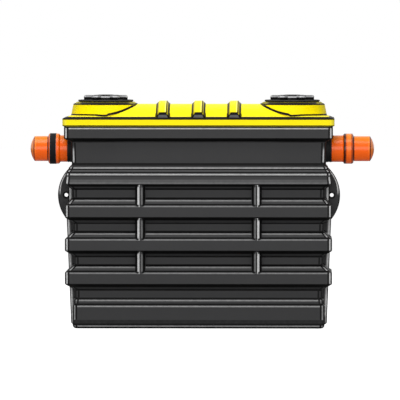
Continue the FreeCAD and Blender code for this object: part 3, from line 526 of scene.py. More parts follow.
def plastic(name, colour, highlight_tint, shade_tint, dust_and_top_light, roughness, grain_size, grain_depth,
            specular, break_up=60.0, mottle=0.12):
    """Moulded plastic with a fine grain: mottled, with painted highlights, painted shade, and faces that look
    up painted lighter as dust and top light.
    """
    material = bpy.data.materials.new(name)
    material.use_nodes = True
    tree = material.node_tree
    shader = tree.nodes["Principled BSDF"].inputs
    shader["Specular IOR Level"].default_value = specular
    grained = added(tree, "Group", {"Size": grain_size}, node_tree=grain).outputs
    painted_light = added(tree, "Group", {"Break Up": break_up}, node_tree=light_paint_tree).outputs
    darker, lighter = [(*[value * share for value in colour], 1.0) for share in (1.0 - mottle, 1.0 + mottle)]
    mixed = added(tree, "Mix", {"Factor": grained["Mottle"], "A": darker, "B": lighter}, data_type="RGBA")
    for output, tint in (("Dust And Top Light", dust_and_top_light), ("Painted Highlight", highlight_tint), ("Painted Shade", shade_tint)):
        mixed = added(tree, "Mix", {"Factor": painted_light[output], "A": mixed.outputs["Result"], "B": (*tint, 1.0)},
                      data_type="RGBA")
    rough = added(tree, "MapRange", {"Value": grained["Mottle"], "To Min": roughness - 0.06,
                                     "To Max": roughness + 0.06})
    bump = added(tree, "Bump", {"Height": grained["Height"], "Strength": 0.5, "Distance": grain_depth})
    tree.links.new(mixed.outputs["Result"], shader["Base Color"])
    tree.links.new(rough.outputs["Result"], shader["Roughness"])
    tree.links.new(bump.outputs["Normal"], shader["Normal"])
    return material


def coat(material, pieces, carried=()):
    """Gives this material alone to pieces, and to the CAD's own nodes of the names in carried."""
    for piece in [*pieces, *(nodes[name] for name in carried)]:
        piece.data.materials.clear()
        piece.data.materials.append(material)


# Shell plastic: painted highlight a pale grey, painted shade black, and faces that look up a lighter grey as
# dust and top light.
tank_black = plastic("tank_black", (0.036, 0.036, 0.037), (0.73, 0.73, 0.73), (0.001, 0.001, 0.001),
                     (0.055, 0.055, 0.056), 0.55, 900.0, 0.0003, specular=0.12)
coat(tank_black, tank_pieces)

# The cover: one shell of yellow polyethylene, spun in a mould as the tank is, with an upright rim, a
# shoulder and a barrel roof that is open where its two turrets stand. A narrow groove runs behind the rim,
# and is painted dark as shade.
cover_low, cover_high = [np.array(corner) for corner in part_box("cover")]
cover_z = tank_height + 0.004
cover_wall = 0.005
rim_half = cover_high[0]
rim_side_half = cover_high[1]
rim_top = cover_z + 0.034
shoulder_run = 0.025
shoulder_rise = 0.0112
roof_radius = 0.270
roof_top = cover_z + 0.095
roof_centre = roof_top - roof_radius
turret_x = 0.410
turret_top = cover_z + 0.104
turret_opening = 0.139


def roof_height(x, y):
    """Top of the cover: the barrel roof, a circle's arc across Y, joined to the flat shoulder by a fillet."""
    arch = roof_centre + np.sqrt(np.maximum(roof_radius**2 - y**2, 0.0))
    arch = arch - 0.08 * ramp(np.abs(x), turret_x - 0.02, turret_x + 0.06)
    edge = np.minimum((rim_half - np.abs(x)) / 0.035, (rim_side_half - np.abs(y)) / shoulder_run)
    shoulder = rim_top + shoulder_rise * np.clip(edge, 0.0, 1.0)
    return joined(arch, shoulder, 0.002)


# Painted marks on the rim, by height: a dark line at its foot against the tank, painted shade over its top
# edge and in the groove behind it, and a painted highlight just above the groove.
rim_marks = bands(
    (cover_z, cover_z + 0.0008, cover_z + 0.0034, -1.0), (cover_z + 0.0044, rim_top - 0.0064, 0.0),
    (rim_top - 0.0048, rim_top + 0.0012, rim_top + 0.0024, rim_top + 0.0036, rim_top + 0.0064, -1.0),
    (rim_top + 0.0076, 0.40), (rim_top + 0.0090, 0.25), (rim_top + 0.0104, 0.0),
)
rim, _ = eased([
    (-0.030, cover_z, 0.0), (0.0, cover_z, 0.0025), (0.0, rim_top, 0.0045),
    (-0.0245, rim_top + shoulder_rise - 0.0003, 0.003), (-0.032, rim_top + shoulder_rise - 0.0002, 0.0),
], steps=6, longest=0.008)
flat_rows = np.flatnonzero(rim[:, 1] > cover_z + 1e-6)[0]
rim = np.vstack([rim[:flat_rows], cut_at(rim[flat_rows:], rim_marks)])
rim_mark = np.interp(rim[:, 1], *rim_marks.T)
rim_mark[:flat_rows] = 0.0
rim[:, 1] -= 0.0015 * np.clip(1.0 - np.abs(-rim[:, 0] - 0.0050) / 0.0032, 0.0, 1.0)
roof_inset = np.linspace(0.036, rim_side_half, 34)
inset = np.append(-rim[:, 0], roof_inset)
half_x = rim_half - np.where(inset < 0.0355, inset * 1.4, inset + 0.0142)
half_y = np.maximum(rim_side_half - inset, 0.0)
radius = np.minimum(np.maximum(0.023 - inset * 0.3, 0.004), half_y)
cover_columns = box_columns(np.linspace(-0.56, 0.56, 113), np.linspace(-0.145, 0.145, 59))
roof_x, roof_y = boxed(cover_columns, half_x, half_y, radius)
on_rim = (np.arange(len(inset)) < len(rim))[:, None]
from_axis = np.hypot(np.abs(roof_x) - turret_x, roof_y)
in_turret = (from_axis < turret_opening) & ~on_rim
outward = np.where(in_turret, turret_opening / np.maximum(from_axis, 1e-6), 1.0)
roof_x = np.sign(roof_x) * (turret_x + (np.abs(roof_x) - turret_x) * outward)
roof_y = roof_y * outward
rim_z = np.append(rim[:, 1], np.zeros(len(roof_inset)))[:, None]
roof_z = np.where(on_rim, rim_z, roof_height(roof_x, roof_y))
# Rim rows keep their dark lines; elsewhere on the rim its rounded corners get a painted highlight.
rim_row_paint = np.append(rim_mark, np.zeros(len(roof_inset)))[:, None]
cover_edge = np.where(rim_row_paint < -0.05, rim_row_paint, np.maximum(rim_row_paint, 0.45 * cover_columns[:, 4] * on_rim))
cover_grid = np.stack([roof_x, roof_y, roof_z], -1)
cover_pieces = [skin("cover_shell", cover_grid, "tank", ["cover"], cover_edge,
                     merge=2e-5, open_at=in_turret, wall=cover_wall)]

# Turrets: tapered round necks of the same moulding, faired into the roof and hollow, bevelled at their top
# edge and open in the middle, where the neck is threaded for the screw cap. Painted shade lies round the
# foot, along the bevel's edge, over the upper bevel and the flat top under the cap, and darker at front and
# back.
turret_edge = 0.1425
turret_slope = 0.0095 / 0.0465
turret_bevel = 0.0095
turret_edge_z = turret_top - turret_bevel
neck_radius = 0.100
thread_pitch = 0.009
fairing = 0.0038
turn = np.linspace(0.0, 2.0 * math.pi, 192, endpoint=False)
all_round = np.ones(len(turn))
for side, name in ends:
    foot_z = np.full(len(turn), cover_z + 0.06)
    for _ in range(12):
        foot_radius = turret_edge + turret_slope * (turret_edge_z - foot_z)
        foot_z = roof_height(side * turret_x + foot_radius * np.cos(turn), foot_radius * np.sin(turn))
    foot_z = np.minimum(foot_z, turret_edge_z - 0.0045)
    foot_radius = turret_edge + turret_slope * (turret_edge_z - foot_z)
    share = np.linspace(0.0, 1.0, 7)[:, None]
    out_radius = foot_radius + fairing
    out_z = roof_height(side * turret_x + out_radius * np.cos(turn), out_radius * np.sin(turn)) - 0.0002
    up_z = np.minimum(foot_z + fairing, turret_edge_z - 0.0039)
    up_radius = turret_edge + turret_slope * (turret_edge_z - up_z)
    of_roof, of_corner, of_wall = (1 - share) ** 2, 2 * share * (1 - share), share**2
    fair_radius = of_roof * out_radius + of_corner * foot_radius + of_wall * up_radius
    fair_z = of_roof * out_z + of_corner * foot_z + of_wall * up_z
    roof_side = ramp(-side * np.cos(turn), -0.05, 0.35)
    low_z = np.minimum(up_z + 0.0024 + 0.0016 * roof_side, turret_edge_z - 0.0038)
    clear_z = np.minimum(low_z + 0.0014, turret_edge_z - 0.0037)
    high_z = np.maximum(turret_edge_z - 0.0036, clear_z + 0.00005)
    wall_share = np.linspace(0.0, 1.0, 6)[:, None]
    wall_z = np.concatenate([low_z[None], clear_z + (high_z - clear_z) * wall_share])
    wall_radius = turret_edge + turret_slope * (turret_edge_z - wall_z)
    top_line, _ = eased([
        (turret_edge + 0.0005, turret_edge_z - 0.0026, 0.0), (turret_edge, turret_edge_z, 0.0008),
        (turret_edge - 0.0165, turret_top, 0.002), (neck_radius + 0.001, turret_top, 0.0015),
        (neck_radius + 0.001, turret_top - 0.004, 0.0),
    ], steps=4, longest=0.0014)
    on_bevel = top_line[:, 1] < turret_top - 0.0003
    top_mark = marked(top_line[:, 1] - turret_edge_z, (0.0042, -1.0), (0.0048, 0.0060, 0.0),
                      (0.0068, 0.0095, -1.0))
    top_mark = np.where(on_bevel & (top_line[:, 0] > neck_radius + 0.01), top_mark, -0.4)
    neck_z = np.linspace(turret_top - 0.005, turret_top - 0.030, 26)[:, None]
    groove = (neck_z - turret_top) / thread_pitch - turn[None, :] / (2.0 * math.pi)
    neck_line = neck_radius + 0.0008 - 0.0007 * np.clip(1.4 * np.cos(2.0 * math.pi * groove), -1.0, 1.0)
    inner = np.array([
        (neck_radius + cover_wall, turret_top - 0.030), (neck_radius + cover_wall, turret_top - 0.0065),
        (turret_edge - 0.0185, turret_top - 0.0065), (turret_edge - 0.0055, turret_edge_z - 0.0020),
    ])
    all_radius = np.concatenate([
        fair_radius, wall_radius, top_line[:, :1] * all_round, neck_line, inner[:, :1] * all_round,
        (foot_radius - cover_wall)[None], fair_radius[:1],
    ])
    all_z = np.concatenate([
        fair_z, wall_z, top_line[:, 1:] * all_round, neck_z * all_round, inner[:, 1:] * all_round,
        (foot_z - cover_wall)[None], fair_z[:1],
    ])
    painted_light = np.concatenate([-np.minimum(5.0 * share[:, 0], 1.0), (-1.0,), np.zeros(6), top_mark])
    painted_light = np.append(painted_light, np.zeros(len(all_z) - len(painted_light)))[:, None] * all_round
    bevel_rows = len(fair_z) + len(wall_z) + np.arange(len(top_mark))
    # Painted shadow of the cap's flange: the bevel is darker towards front and back.
    shaded = on_bevel[:, None] * ramp(np.abs(np.sin(turn)), 0.45, 0.75)
    painted_light[bevel_rows] = np.minimum(painted_light[bevel_rows], -0.85 * shaded)
    grid = np.stack([side * turret_x + all_radius * np.cos(turn), all_radius * np.sin(turn), all_z], -1)
    cover_pieces.append(skin("turret_" + name, grid, "tank", ["cover"], painted_light))

# Stiffening ribs: hollow swages over the roof, part of the same moulding. Their tops are flatter than the
# roof and their sides bevelled; painted shade lies along both sides and in the bevels, and a painted
# highlight runs along the top near one edge.
rib_pitch = 0.156
rib_reach = -cover_low[1] - 0.004
rib_lean = 0.002
rib_rise = 0.014
rib_top = roof_top + rib_rise
rib_end_z = cover_z + 0.064
rib_sagitta = rib_top - rib_end_z
rib_radius = (rib_reach**2 + rib_sagitta**2) / (2.0 * rib_sagitta)


def rib_grid(x):
    """Rib over the roof: a bevelled section, carried along a flat arc from front to back.

    Across, the section goes from the roof up a bevel, over a flat face and down again, its edges rounded.
    Along, the face's height is the arc's, and the foot's is the roof's, so that the open ends lean back.
    """
    along = np.linspace(-rib_reach + 0.005, rib_reach - 0.005, 61)
    near_ends = np.array([-rib_reach + 0.0006, -rib_reach + 0.002, rib_reach - 0.002, rib_reach - 0.0006])
    along = np.concatenate([near_ends[:2], along, near_ends[2:]])
    from_end = rib_reach - np.abs(along)
    face = rib_top - rib_radius + np.sqrt(rib_radius**2 - along**2)
    face = face - np.clip(0.004 - from_end, 0.0, 0.004) ** 2 / 0.006
    section, _ = eased([
        (-0.0325, -0.001, 0.0), (-0.0305, 0.0, 0.002), (-0.0165, rib_rise, 0.003), (0.0165, rib_rise, 0.003),
        (0.0305, 0.0, 0.002), (0.0325, -0.001, 0.0),
    ], steps=4, longest=0.0016, margin=0.001)
    painted_light = marked(section[:, 0], (-0.0235, -1.0), (-0.0222, -0.36), (-0.0185, -0.33), (-0.0165, 0.0085, 0.0),
                  (0.0098, 0.0132, 1.3), (0.0146, 0.0176, -0.9), (0.0190, -0.33), (0.0222, -0.36),
                  (0.0235, -1.0))
    lift = section[:, 1] / rib_rise
    roof_y = np.sign(along) * np.minimum(np.abs(along), rib_reach - rib_lean)
    base = roof_centre + np.sqrt(roof_radius**2 - roof_y**2)
    z = base[:, None] + (face - base)[:, None] * lift[None, :]
    lift = np.clip(lift, 0.0, 1.0)
    y = along[:, None] * lift[None, :] + roof_y[:, None] * (1.0 - lift)[None, :]
    return np.stack([np.broadcast_to(x + section[:, 0], z.shape), y, z], -1), np.broadcast_to(painted_light, z.shape)


for index in (-1, 0, 1):
    grid, painted_light = rib_grid(index * rib_pitch)
    cover_pieces.append(skin("roof_rib_" + str(index + 2), grid, "tank", ["cover"], painted_light,
                             ring=False, wall=0.0035))

# Cover plastic: painted highlight a pale yellow, painted shade near black, and faces that look up painted a
# lighter yellow as top light.
cover_yellow = plastic("cover_yellow", (0.95, 0.78, 0.001), (0.95, 0.88, 0.22), (0.006, 0.004, 0.002),
                       (0.95, 0.84, 0.012), 0.46, 1100.0, 0.00015, specular=0.08, break_up=30.0, mottle=0.04)
coat(cover_yellow, cover_pieces)

# End pieces: black plates set into the ribs' open ends as painted shade, set back from the edge and leaning
# out at their foot. Their upper part and sides are painted darker, the rest a little lighter.
rib_foot_z = roof_centre + math.sqrt(roof_radius**2 - (rib_reach - rib_lean) ** 2)
up_plate = np.linspace(-0.10, 0.97, 13)[:, None]
over_plate = np.linspace(-1.0, 1.0, 15)[None, :]
plate_half = 0.0300 - 0.0140 * up_plate
plate_y = rib_reach - rib_lean * (1.0 - up_plate) - 0.0030 - 0.0040 * up_plate + 0.0 * over_plate
plate_z = rib_foot_z + (rib_end_z - rib_foot_z) * up_plate + 0.0 * over_plate
plate_mark = np.where((up_plate > 0.5) | (np.abs(over_plate) > 0.72), -1.0, 0.22)
for index in (-1, 0, 1):
    for side, name in ((-1, "front"), (1, "back")):
        grid = np.stack([index * rib_pitch + plate_half * over_plate, side * plate_y, plate_z], -1)
        piece = skin("rib_end_" + name + "_" + str(index + 2), grid, "tank", [], plate_mark,
                     ring=False, wall=0.002)
        coat(tank_black, [piece])

# Screw caps: black polyethylene covers for the inspection necks, each with a flange, a low domed boss and
# six rounded grips for a strap wrench. A thread on the skirt screws into the neck on a flat rubber ring.
def lathed(name, profile, painted_light, body, replaced, centre, axis="Z", side=1, wave=None):
    """Turned piece: its profile of (radius, distance along the axis) points carried round the axis.

    A point is the centre plus radius * (cos, sin) across the axis and the distance along it. wave, if
    given, is added to the radius at each point and angle.
    """
    angle = np.linspace(0.0, 2.0 * math.pi, 128, endpoint=False)
    spread = profile[:, :1] + (0.0 if wave is None else wave(profile, angle))
    spread = np.broadcast_to(spread, (len(profile), len(angle)))
    along = np.broadcast_to(profile[:, 1:], spread.shape)
    one = centre[0] + spread * np.cos(angle)
    other = centre[1] + spread * np.sin(angle)
    grid = np.stack([one, other, along], -1) if axis == "Z" else np.stack([side * along, one, other], -1)
    return skin(name, grid, body, replaced, np.repeat(painted_light[:, None], len(angle), 1))


cap_seat = turret_top + 0.002
flange_radius = 0.121
flange_top = cap_seat + 0.009
boss_radius = 0.063
boss_top = flange_top + 0.016
skirt_radius = neck_radius - 0.0006
skirt_foot = cap_seat - 0.018
thread_root = skirt_radius - 0.0015
cap_wall = 0.004
skirt_inner = skirt_radius - cap_wall
boss_inner = boss_radius - cap_wall
cap_profile, _ = eased([
    (0.0, boss_top - cap_wall, 0.0), (boss_inner, boss_top - cap_wall, 0.0),
    (boss_inner, flange_top - cap_wall, 0.0), (skirt_inner, flange_top - cap_wall, 0.0),
    (skirt_inner, skirt_foot, 0.001), (thread_root, skirt_foot, 0.001), (thread_root, cap_seat, 0.0),
    (flange_radius, cap_seat, 0.0015), (flange_radius, flange_top - 0.002, 0.0025),
    (boss_radius + 0.006, flange_top, 0.0), (boss_radius + 0.002, flange_top, 0.002),
    (boss_radius, boss_top, 0.004), (0.030, boss_top + 0.0045, 0.02), (0.0, boss_top + 0.0050, 0.0),
], steps=5, longest=0.0012)
cap_r, cap_z = cap_profile.T
# Painted marks: dark lines above and below the flange's rim with a faint painted highlight between, painted
# shade over the flange's top and the boss, and a bright band of painted highlight round the boss's edge.
rim_paint = marked(cap_z - cap_seat, (0.0010, -1.0), (0.0018, 0.0056, 0.28), (0.0066, -1.0))
boss_paint = marked(cap_z - boss_top, (-0.0095, -0.9), (-0.0080, -0.0018, 1.15), (-0.0004, -0.9))
cap_mark = np.where(cap_r > flange_radius - 0.0012, rim_paint, -0.9)
on_boss_edge = (np.abs(cap_r - boss_radius) < 0.0035) & (cap_z > flange_top + 0.0005)
cap_mark = np.where(on_boss_edge, boss_paint, cap_mark)
cap_mark = np.where(cap_z < cap_seat - 1e-5, 0.0, cap_mark)


def cap_thread(profile, angle):
    """Ridge of the thread on the skirt: a wave of one pitch a turn, 1.4 mm high, that fades at both ends."""
    height = profile[:, 1:]
    on_skirt = (np.abs(profile[:, :1] - thread_root) < 1e-5) & (height < cap_seat - 0.001)
    fade = ramp(height, skirt_foot + 0.001, skirt_foot + 0.004)
    fade = fade * (1.0 - ramp(height, cap_seat - 0.005, cap_seat - 0.002))
    turn = height / thread_pitch - angle[None, :] / (2.0 * math.pi)
    return 0.0014 * np.clip(0.5 + 1.2 * np.cos(2.0 * math.pi * turn), 0.0, 1.0) * fade * on_skirt


cap_pieces = []
grip_columns = box_columns(np.linspace(-0.015, 0.015, 7), np.linspace(-0.003, 0.003, 3), 8)
grip_top = flange_top + 0.0184
grip_line, _ = eased([
    (0.0, flange_top - 0.004, 0.0), (0.0, flange_top + 0.018, 0.006), (-0.013, grip_top, 0.0),
], steps=6, longest=0.0015)
# Painted marks on each grip: a painted highlight round its upper edge between dark painted lines, fainter on
# its inner part, and its top painted dark.
grip_mark = marked(grip_line[:, 1] - flange_top, (0.0080, -1.0), (0.0095, 0.0165, 1.2), (0.0178, -0.8))
grip_from_axis = 0.0705
grip_long, grip_wide, grip_round = 0.0255, 0.014, 0.010
for side, name in ends:
    cap_node = "screw_cap_" + name
    cap_pieces.append(lathed("cap_" + name, cap_profile, cap_mark, cap_node, [cap_node],
                             (side * turret_x, 0.0), wave=cap_thread))
    inwards = grip_line[:, 0]
    grip_corner = np.maximum(grip_round + inwards, 0.0005)
    grip_x, grip_y = boxed(grip_columns, grip_long + inwards, grip_wide + inwards, grip_corner)
    grip_z = np.repeat(grip_line[:, 1:], len(grip_columns), 1)
    along_grip = grip_mark[:, None]
    grip_paint = np.where((grip_x > 0.017) | (along_grip < 0.0), along_grip, 0.70 * along_grip)
    grip_x, grip_y, grip_z, grip_paint = [
        np.concatenate([rows, np.full((1, len(grip_columns)), middle)])
        for rows, middle in ((grip_x, 0.0), (grip_y, 0.0), (grip_z, grip_top), (grip_paint, -0.6))
    ]
    for index in range(6):
        angle = index * math.pi / 3.0
        out = grip_from_axis + grip_x
        grid = np.stack([side * turret_x + out * math.cos(angle) - grip_y * math.sin(angle),
                         out * math.sin(angle) + grip_y * math.cos(angle), grip_z], -1)
        grip_name = "cap_" + name + "_grip_" + str(index + 1)
        cap_pieces.append(skin(grip_name, grid, cap_node, [cap_node], grip_paint))
# Cap plastic: painted highlight a mid grey, painted shade near black, and faces that look up a shade lighter
# as dust and top light.
cap_black = plastic("cap_black", (0.010, 0.010, 0.011), (0.60, 0.60, 0.61), (0.001, 0.001, 0.001),
                    (0.012, 0.012, 0.013), 0.60, 1300.0, 0.0002, specular=0.06, break_up=90.0)
coat(cap_black, cap_pieces)

# Rubber: the flat rings under the caps, the long seal under the cover, and the grommets that seal the
# pipes in the end walls, whose outer sleeves have two soft lips. Moulded black rubber, matt, with painted
# highlights on its edges, painted shade in its corners, and faces that look up painted lighter.
rubber_black = plastic("rubber_black", (0.010, 0.010, 0.010), (0.06, 0.06, 0.06), (0.002, 0.002, 0.002),
                       (0.03, 0.03, 0.03), 0.65, 1500.0, 0.0001, specular=0.15, break_up=120.0)
ring_in, ring_out = 0.104, 0.117
ring_profile, ring_edge = eased([
    (ring_in, turret_top + 0.001, 0.0), (ring_in, turret_top, 0.0005), (ring_out, turret_top, 0.0005),
    (ring_out, cap_seat, 0.0005), (ring_in, cap_seat, 0.0005), (ring_in, turret_top + 0.001, 0.0),
], longest=0.004, margin=0.0003)
rubber_pieces = []
for side, name in ends:
    ring_node = "cap_seal_" + name
    rubber_pieces.append(lathed("cap_ring_" + name, ring_profile, ring_edge, ring_node, [ring_node],
                                (side * turret_x, 0.0)))

pipe_radius = 0.055
pipe_bore = 0.0518
grommet_inner = wall_half(pipe_z - 0.064) - 0.0062
grommet_back = grommet_inner - 0.008
grommet_bore, hole_radius, lip_radius, waist_radius = 0.0552, 0.0576, 0.0597, 0.0585
sleeve_length = {"left": 0.019, "right": 0.024}


def on_pipe(name, line, painted_light, side, node, body="tank"):
    """Turned piece on the pipes' axis, at the left end or the right, in place of its node."""
    return lathed(name, line, painted_light, body, [node], (0.0, pipe_z), "X", side)


for side, name in ends:
    sleeve = sleeve_length[name]
    end = pad_face + sleeve
    line, painted_light = eased([
        (grommet_bore, grommet_back, 0.0), (0.064, grommet_back, 0.002), (0.064, grommet_inner, 0.001),
        (hole_radius, grommet_inner, 0.0), (hole_radius, pad_face, 0.0), (lip_radius, pad_face, 0.001),
        (lip_radius, pad_face + sleeve * 0.34, 0.0015), (waist_radius, pad_face + sleeve * 0.40, 0.001),
        (waist_radius, pad_face + sleeve * 0.60, 0.001), (lip_radius, pad_face + sleeve * 0.66, 0.0015),
        (lip_radius, end, 0.003), (grommet_bore, end, 0.001), (grommet_bore, grommet_back, 0.0),
    ], steps=4, longest=0.004, margin=0.0004)
    rubber_pieces.append(on_pipe("pipe_grommet_" + name, line, painted_light, side, "grommet_" + name))
coat(rubber_black, rubber_pieces, ("cover_seal", "socket_ring_left", "socket_ring_right"))

# Sewer pipe connection: orange PVC sockets with a ring bead, plain pipe ends pushed into them, and rounded
# plugs. Extruded pipe with the bead blown out while hot, so the skin is smooth with faint rings.
orange_pieces = []
pipe_inner = 0.492
socket_radius, socket_bore, bead_radius = 0.0585, 0.0553, 0.0665
plug_reach = 0.021
plug_lip = 0.0025
plug_bore = pipe_bore - 0.0003
plug_hollow = pipe_bore - 0.0033
plug_ball = (pipe_radius**2 + (plug_reach - plug_lip) ** 2) / (2.0 * (plug_reach - plug_lip))
mark_radius = pipe_radius - 0.0008
# Painted marks on the beads: dark bands of painted shade at their edges, and a painted highlight in the right
# bead's middle.
left_marks = bands((0.6540, 0.0), (0.6556, 0.6612, -0.28), (0.6618, -0.8))
right_marks = bands(
    (0.6360, 0.0), (0.6372, 0.6412, -1.0), (0.6425, -0.40), (0.6490, -0.28), (0.6508, 0.0),
    (0.6515, 0.6655, 0.40), (0.6665, 0.0), (0.6682, 0.6775, -0.45), (0.6788, -0.8),
)
for side, name, socket_length, bead_length, free_length, bead_marks in (
        (-1, "left", 0.032, 0.052, 0.058, left_marks), (1, "right", 0.050, 0.046, 0.070, right_marks)):
    start = pad_face + sleeve_length[name]
    seat = start + 0.010
    bead_start = start + socket_length
    bead_end = bead_start + bead_length
    pipe_end = bead_end + free_length
    line, painted_light = eased([
        (pipe_bore, pipe_inner, 0.0), (pipe_radius, pipe_inner, 0.001), (pipe_radius, start, 0.0),
        (socket_radius, start, 0.0015), (socket_radius, bead_start, 0.004),
        (bead_radius, bead_start + 0.005, 0.004), (bead_radius, bead_end - 0.005, 0.004),
        (0.0605, bead_end, 0.002), (socket_bore, bead_end, 0.0008), (socket_bore, seat, 0.0),
        (pipe_bore, seat, 0.0), (pipe_bore, pipe_inner, 0.0),
    ], steps=6, longest=0.006, margin=0.0012)
    painted_light = np.where(line[:, 0] > pipe_radius + 0.001, np.interp(line[:, 1], *bead_marks.T), 0.0)
    orange_pieces.append(on_pipe("pipe_socket_" + name, line, painted_light, side, "socket_pipe_" + name))
    line, painted_light = eased([
        (pipe_bore, seat, 0.0), (pipe_radius, seat, 0.0), (pipe_radius, bead_end + 0.0004, 0.0),
        (mark_radius, bead_end + 0.0006, 0.0), (mark_radius, bead_end + 0.0024, 0.0),
        (pipe_radius, bead_end + 0.0026, 0.0), (pipe_radius, pipe_end, 0.0015), (pipe_bore, pipe_end, 0.0006),
        (pipe_bore, seat, 0.0),
    ], steps=4, longest=0.0015, margin=0.0003)
    # A painted dark line where the pipe goes into the socket, and a painted highlight near its end.
    painted_light = marked(line[:, 1] - bead_end, (0.0, 0.0028, -1.0), (0.0036, 0.0))
    painted_light = painted_light + marked(line[:, 1] - pipe_end, (-0.0045, 0.0), (-0.0035, 0.62))
    painted_light = np.where(line[:, 0] > pipe_bore + 0.0005, painted_light, 0.0)
    orange_pieces.append(on_pipe("pipe_end_" + name, line, painted_light, side, "spigot_" + name))
    line, painted_light = eased([
        (0.0, pipe_end - 0.003, 0.0), (plug_hollow, pipe_end - 0.003, 0.0),
        (plug_hollow, pipe_end - 0.030, 0.001), (plug_bore, pipe_end - 0.030, 0.001),
        (plug_bore, pipe_end, 0.0), (pipe_radius, pipe_end, 0.0008), (pipe_radius, pipe_end + plug_lip, 0.0),
    ], steps=4, longest=0.0012, margin=0.0004)
    plug_turn = np.linspace(math.asin(pipe_radius / plug_ball), 0.0, 40)
    dome_along = pipe_end + plug_reach - plug_ball * (1.0 - np.cos(plug_turn))
    line = np.concatenate([line, np.stack([plug_ball * np.sin(plug_turn), dome_along], -1)[1:]])
    # On the plug: a faint painted highlight at its lip, a painted dark line at the joint, and a painted
    # highlight over the dome.
    painted_light = marked(line[:, 1] - pipe_end, (0.0, 0.0012, 0.4), (0.0019, 0.0056, -1.0), (0.0066, 0.7))
    painted_light[line[:, 1] < pipe_end - 1e-4] = 0.0
    orange_pieces.append(on_pipe("pipe_plug_" + name, line, painted_light, side, "plug_" + name, body="plug_" + name))
# Pipe plastic: painted highlight a pale orange, painted shade a dark brown, and faces that look up painted a
# lighter orange as top light.
pipe_orange = plastic("pipe_orange", (0.98, 0.125, 0.001), (1.0, 0.42, 0.06), (0.05, 0.006, 0.001),
                      (0.98, 0.26, 0.004), 0.24, 500.0, 0.00005, specular=0.28, break_up=45.0, mottle=0.02)
coat(pipe_orange, orange_pieces, ("inlet_elbow", "outlet_tee", "outlet_riser"))

# Clamp band: a black plastic strap round the inlet socket's bead, moulded with rounded rims and drawn
# tight over the groove that holds the socket's rubber ring.
band_low, band_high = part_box("socket_band_left")
bead_middle = -(band_low[0] + band_high[0]) / 2.0
band_half, band_flat = 0.0138, 0.0105
band_from, band_to = bead_middle - band_half, bead_middle + band_half
band_in, band_out, band_edge = 0.0667, 0.0676, 0.0683
line, painted_light = eased([
    (band_in, band_from, 0.0005), (band_edge, band_from, 0.0007), (band_out, bead_middle - band_flat, 0.001),
    (band_out, bead_middle + band_flat, 0.001), (band_edge, band_to, 0.0007), (band_in, band_to, 0.0),
    (band_in, band_from, 0.0),
], steps=3, longest=0.004, margin=0.0003)
# Its rims get painted highlights and its inner corners painted shade, from the corners of its line.
coat(cap_black, [on_pipe("clamp_band", line, painted_light, -1, "socket_band_left")])

# Inside pieces, seen through an open neck: grey grate, legs and tray moulded in polypropylene, and blocks
# of open filter media in a darker blue grey plastic, with a slime-brown tint of use.
inner_grey = plastic("inner_grey", (0.30, 0.32, 0.33), (0.42, 0.43, 0.43), (0.10, 0.09, 0.07),
                     (0.22, 0.19, 0.13), 0.5, 800.0, 0.0002, specular=0.4, break_up=25.0, mottle=0.15)
media_blue = plastic("media_blue", (0.045, 0.065, 0.085), (0.10, 0.12, 0.14), (0.02, 0.018, 0.01),
                     (0.06, 0.05, 0.03), 0.6, 400.0, 0.0008, specular=0.3, break_up=25.0, mottle=0.25)
coat(inner_grey, (), ("grate_legs", "support_grate", "distribution_tray"))
coat(media_blue, (), ["media_block_" + str(index + 1) for index in range(5)])

# Floor and light: a plain pale floor, soft lamps above, in front and behind, and an even white surround.
# Only the camera sees the floor's glow, and only camera and reflections see the surround at full white.
floor_half = 30.0
corners = [(x * floor_half, y * floor_half, 0.0) for x, y in ((-1, -1), (1, -1), (1, 1), (-1, 1))]
floor_mesh = bpy.data.meshes.new("floor")
floor_mesh.from_pydata(corners, [], [(0, 1, 2, 3)])
floor = placed("floor", floor_mesh)
pale = bpy.data.materials.new("pale_floor")
pale.use_nodes = True
tree = pale.node_tree
diffuse = tree.nodes["Principled BSDF"]
diffuse.inputs["Base Color"].default_value = (0.50, 0.50, 0.50, 1.0)
diffuse.inputs["Roughness"].default_value = 1.0
diffuse.inputs["Specular IOR Level"].default_value = 0.0
plain = diffuse.outputs["BSDF"]
glow = added(tree, "Emission", {"Strength": 0.90})
bright = added(tree, "AddShader", {0: plain, 1: glow.outputs["Emission"]}).outputs["Shader"]
seen = added(tree, "LightPath").outputs
chosen = added(tree, "MixShader", {"Fac": seen["Is Camera Ray"], 1: plain, 2: bright})
tree.links.new(chosen.outputs["Shader"], tree.nodes["Material Output"].inputs["Surface"])
floor_mesh.materials.append(pale)

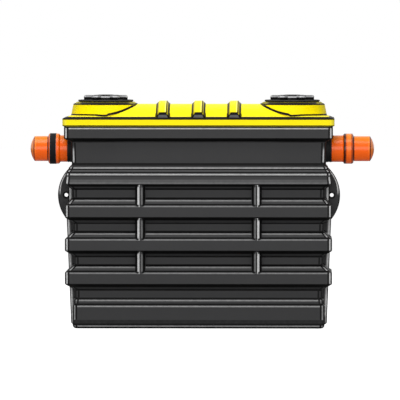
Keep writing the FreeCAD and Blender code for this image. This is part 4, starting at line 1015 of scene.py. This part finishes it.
world = bpy.data.worlds.new("studio")
bpy.context.scene.world = world
world.use_nodes = True
tree = world.node_tree
surround = tree.nodes["Background"]
white = (1.0, 1.0, 1.0, 1.0)
surround.inputs["Color"].default_value = white
surround.inputs["Strength"].default_value = 0.26
backdrop = added(tree, "Background", {"Color": white, "Strength": 1.0}).outputs["Background"]
seen = added(tree, "LightPath").outputs
shown = seen["Is Camera Ray"]
for ray in ("Is Glossy Ray", "Is Transmission Ray"):
    shown = added(tree, "Math", {0: shown, 1: seen[ray]}, operation="MAXIMUM").outputs["Value"]
mixed = added(tree, "MixShader", {"Fac": shown, 1: surround.outputs["Background"], 2: backdrop})
tree.links.new(mixed.outputs["Shader"], tree.nodes["World Output"].inputs["Surface"])


def soft_lamp(name, place, target, width, height, power, mirrored=True):
    """Rectangular lamp that looks at a point. One that isn't mirrored leaves no shine on a surface."""
    lamp = bpy.data.lights.new(name, "AREA")
    lamp.shape = "RECTANGLE"
    lamp.size = width
    lamp.size_y = height
    lamp.energy = power
    holder = placed(name, lamp)
    holder.location = place
    holder.visible_glossy = mirrored
    holder.rotation_euler = (Vector(target) - Vector(place)).to_track_quat("-Z", "Y").to_euler()


soft_lamp("lamp_above", (-0.5, -0.9, 3.2), (0.0, 0.0, 0.6), 3.0, 1.6, 62.0)
soft_lamp("lamp_front", (0.2, -4.4, 1.2), (0.0, 0.0, 0.5), 5.6, 2.0, 121.0)
soft_lamp("lamp_back", (0.0, 3.4, 3.2), (0.0, 0.0, 0.5), 5.0, 1.6, 80.0, mirrored=False)

# Camera: a long lens far off, two degrees above level and one to the right of the middle, as in the
# photograph. A pixel takes in 4.4 mm of the object.
pixel = 0.0044
picture = 400
distance = 25.0
camera_rise = math.radians(2.0)
camera_turn = math.radians(1.0)
middle = Vector(((picture / 2.0 - 199.0) * pixel, 0.0, 0.5597))
level = math.cos(camera_rise)
towards = Vector((math.sin(camera_turn) * level, -math.cos(camera_turn) * level, math.sin(camera_rise)))
lens = bpy.data.cameras.new("camera")
lens.sensor_width = 36.0
lens.lens = lens.sensor_width * distance / (pixel * picture)
lens.clip_end = 100.0
camera = placed("camera", lens)
camera.location = middle + towards * distance
camera.rotation_euler = (-towards).to_track_quat("-Z", "Y").to_euler()
bpy.context.scene.camera = camera
bpy.context.scene.view_settings.view_transform = "Standard"
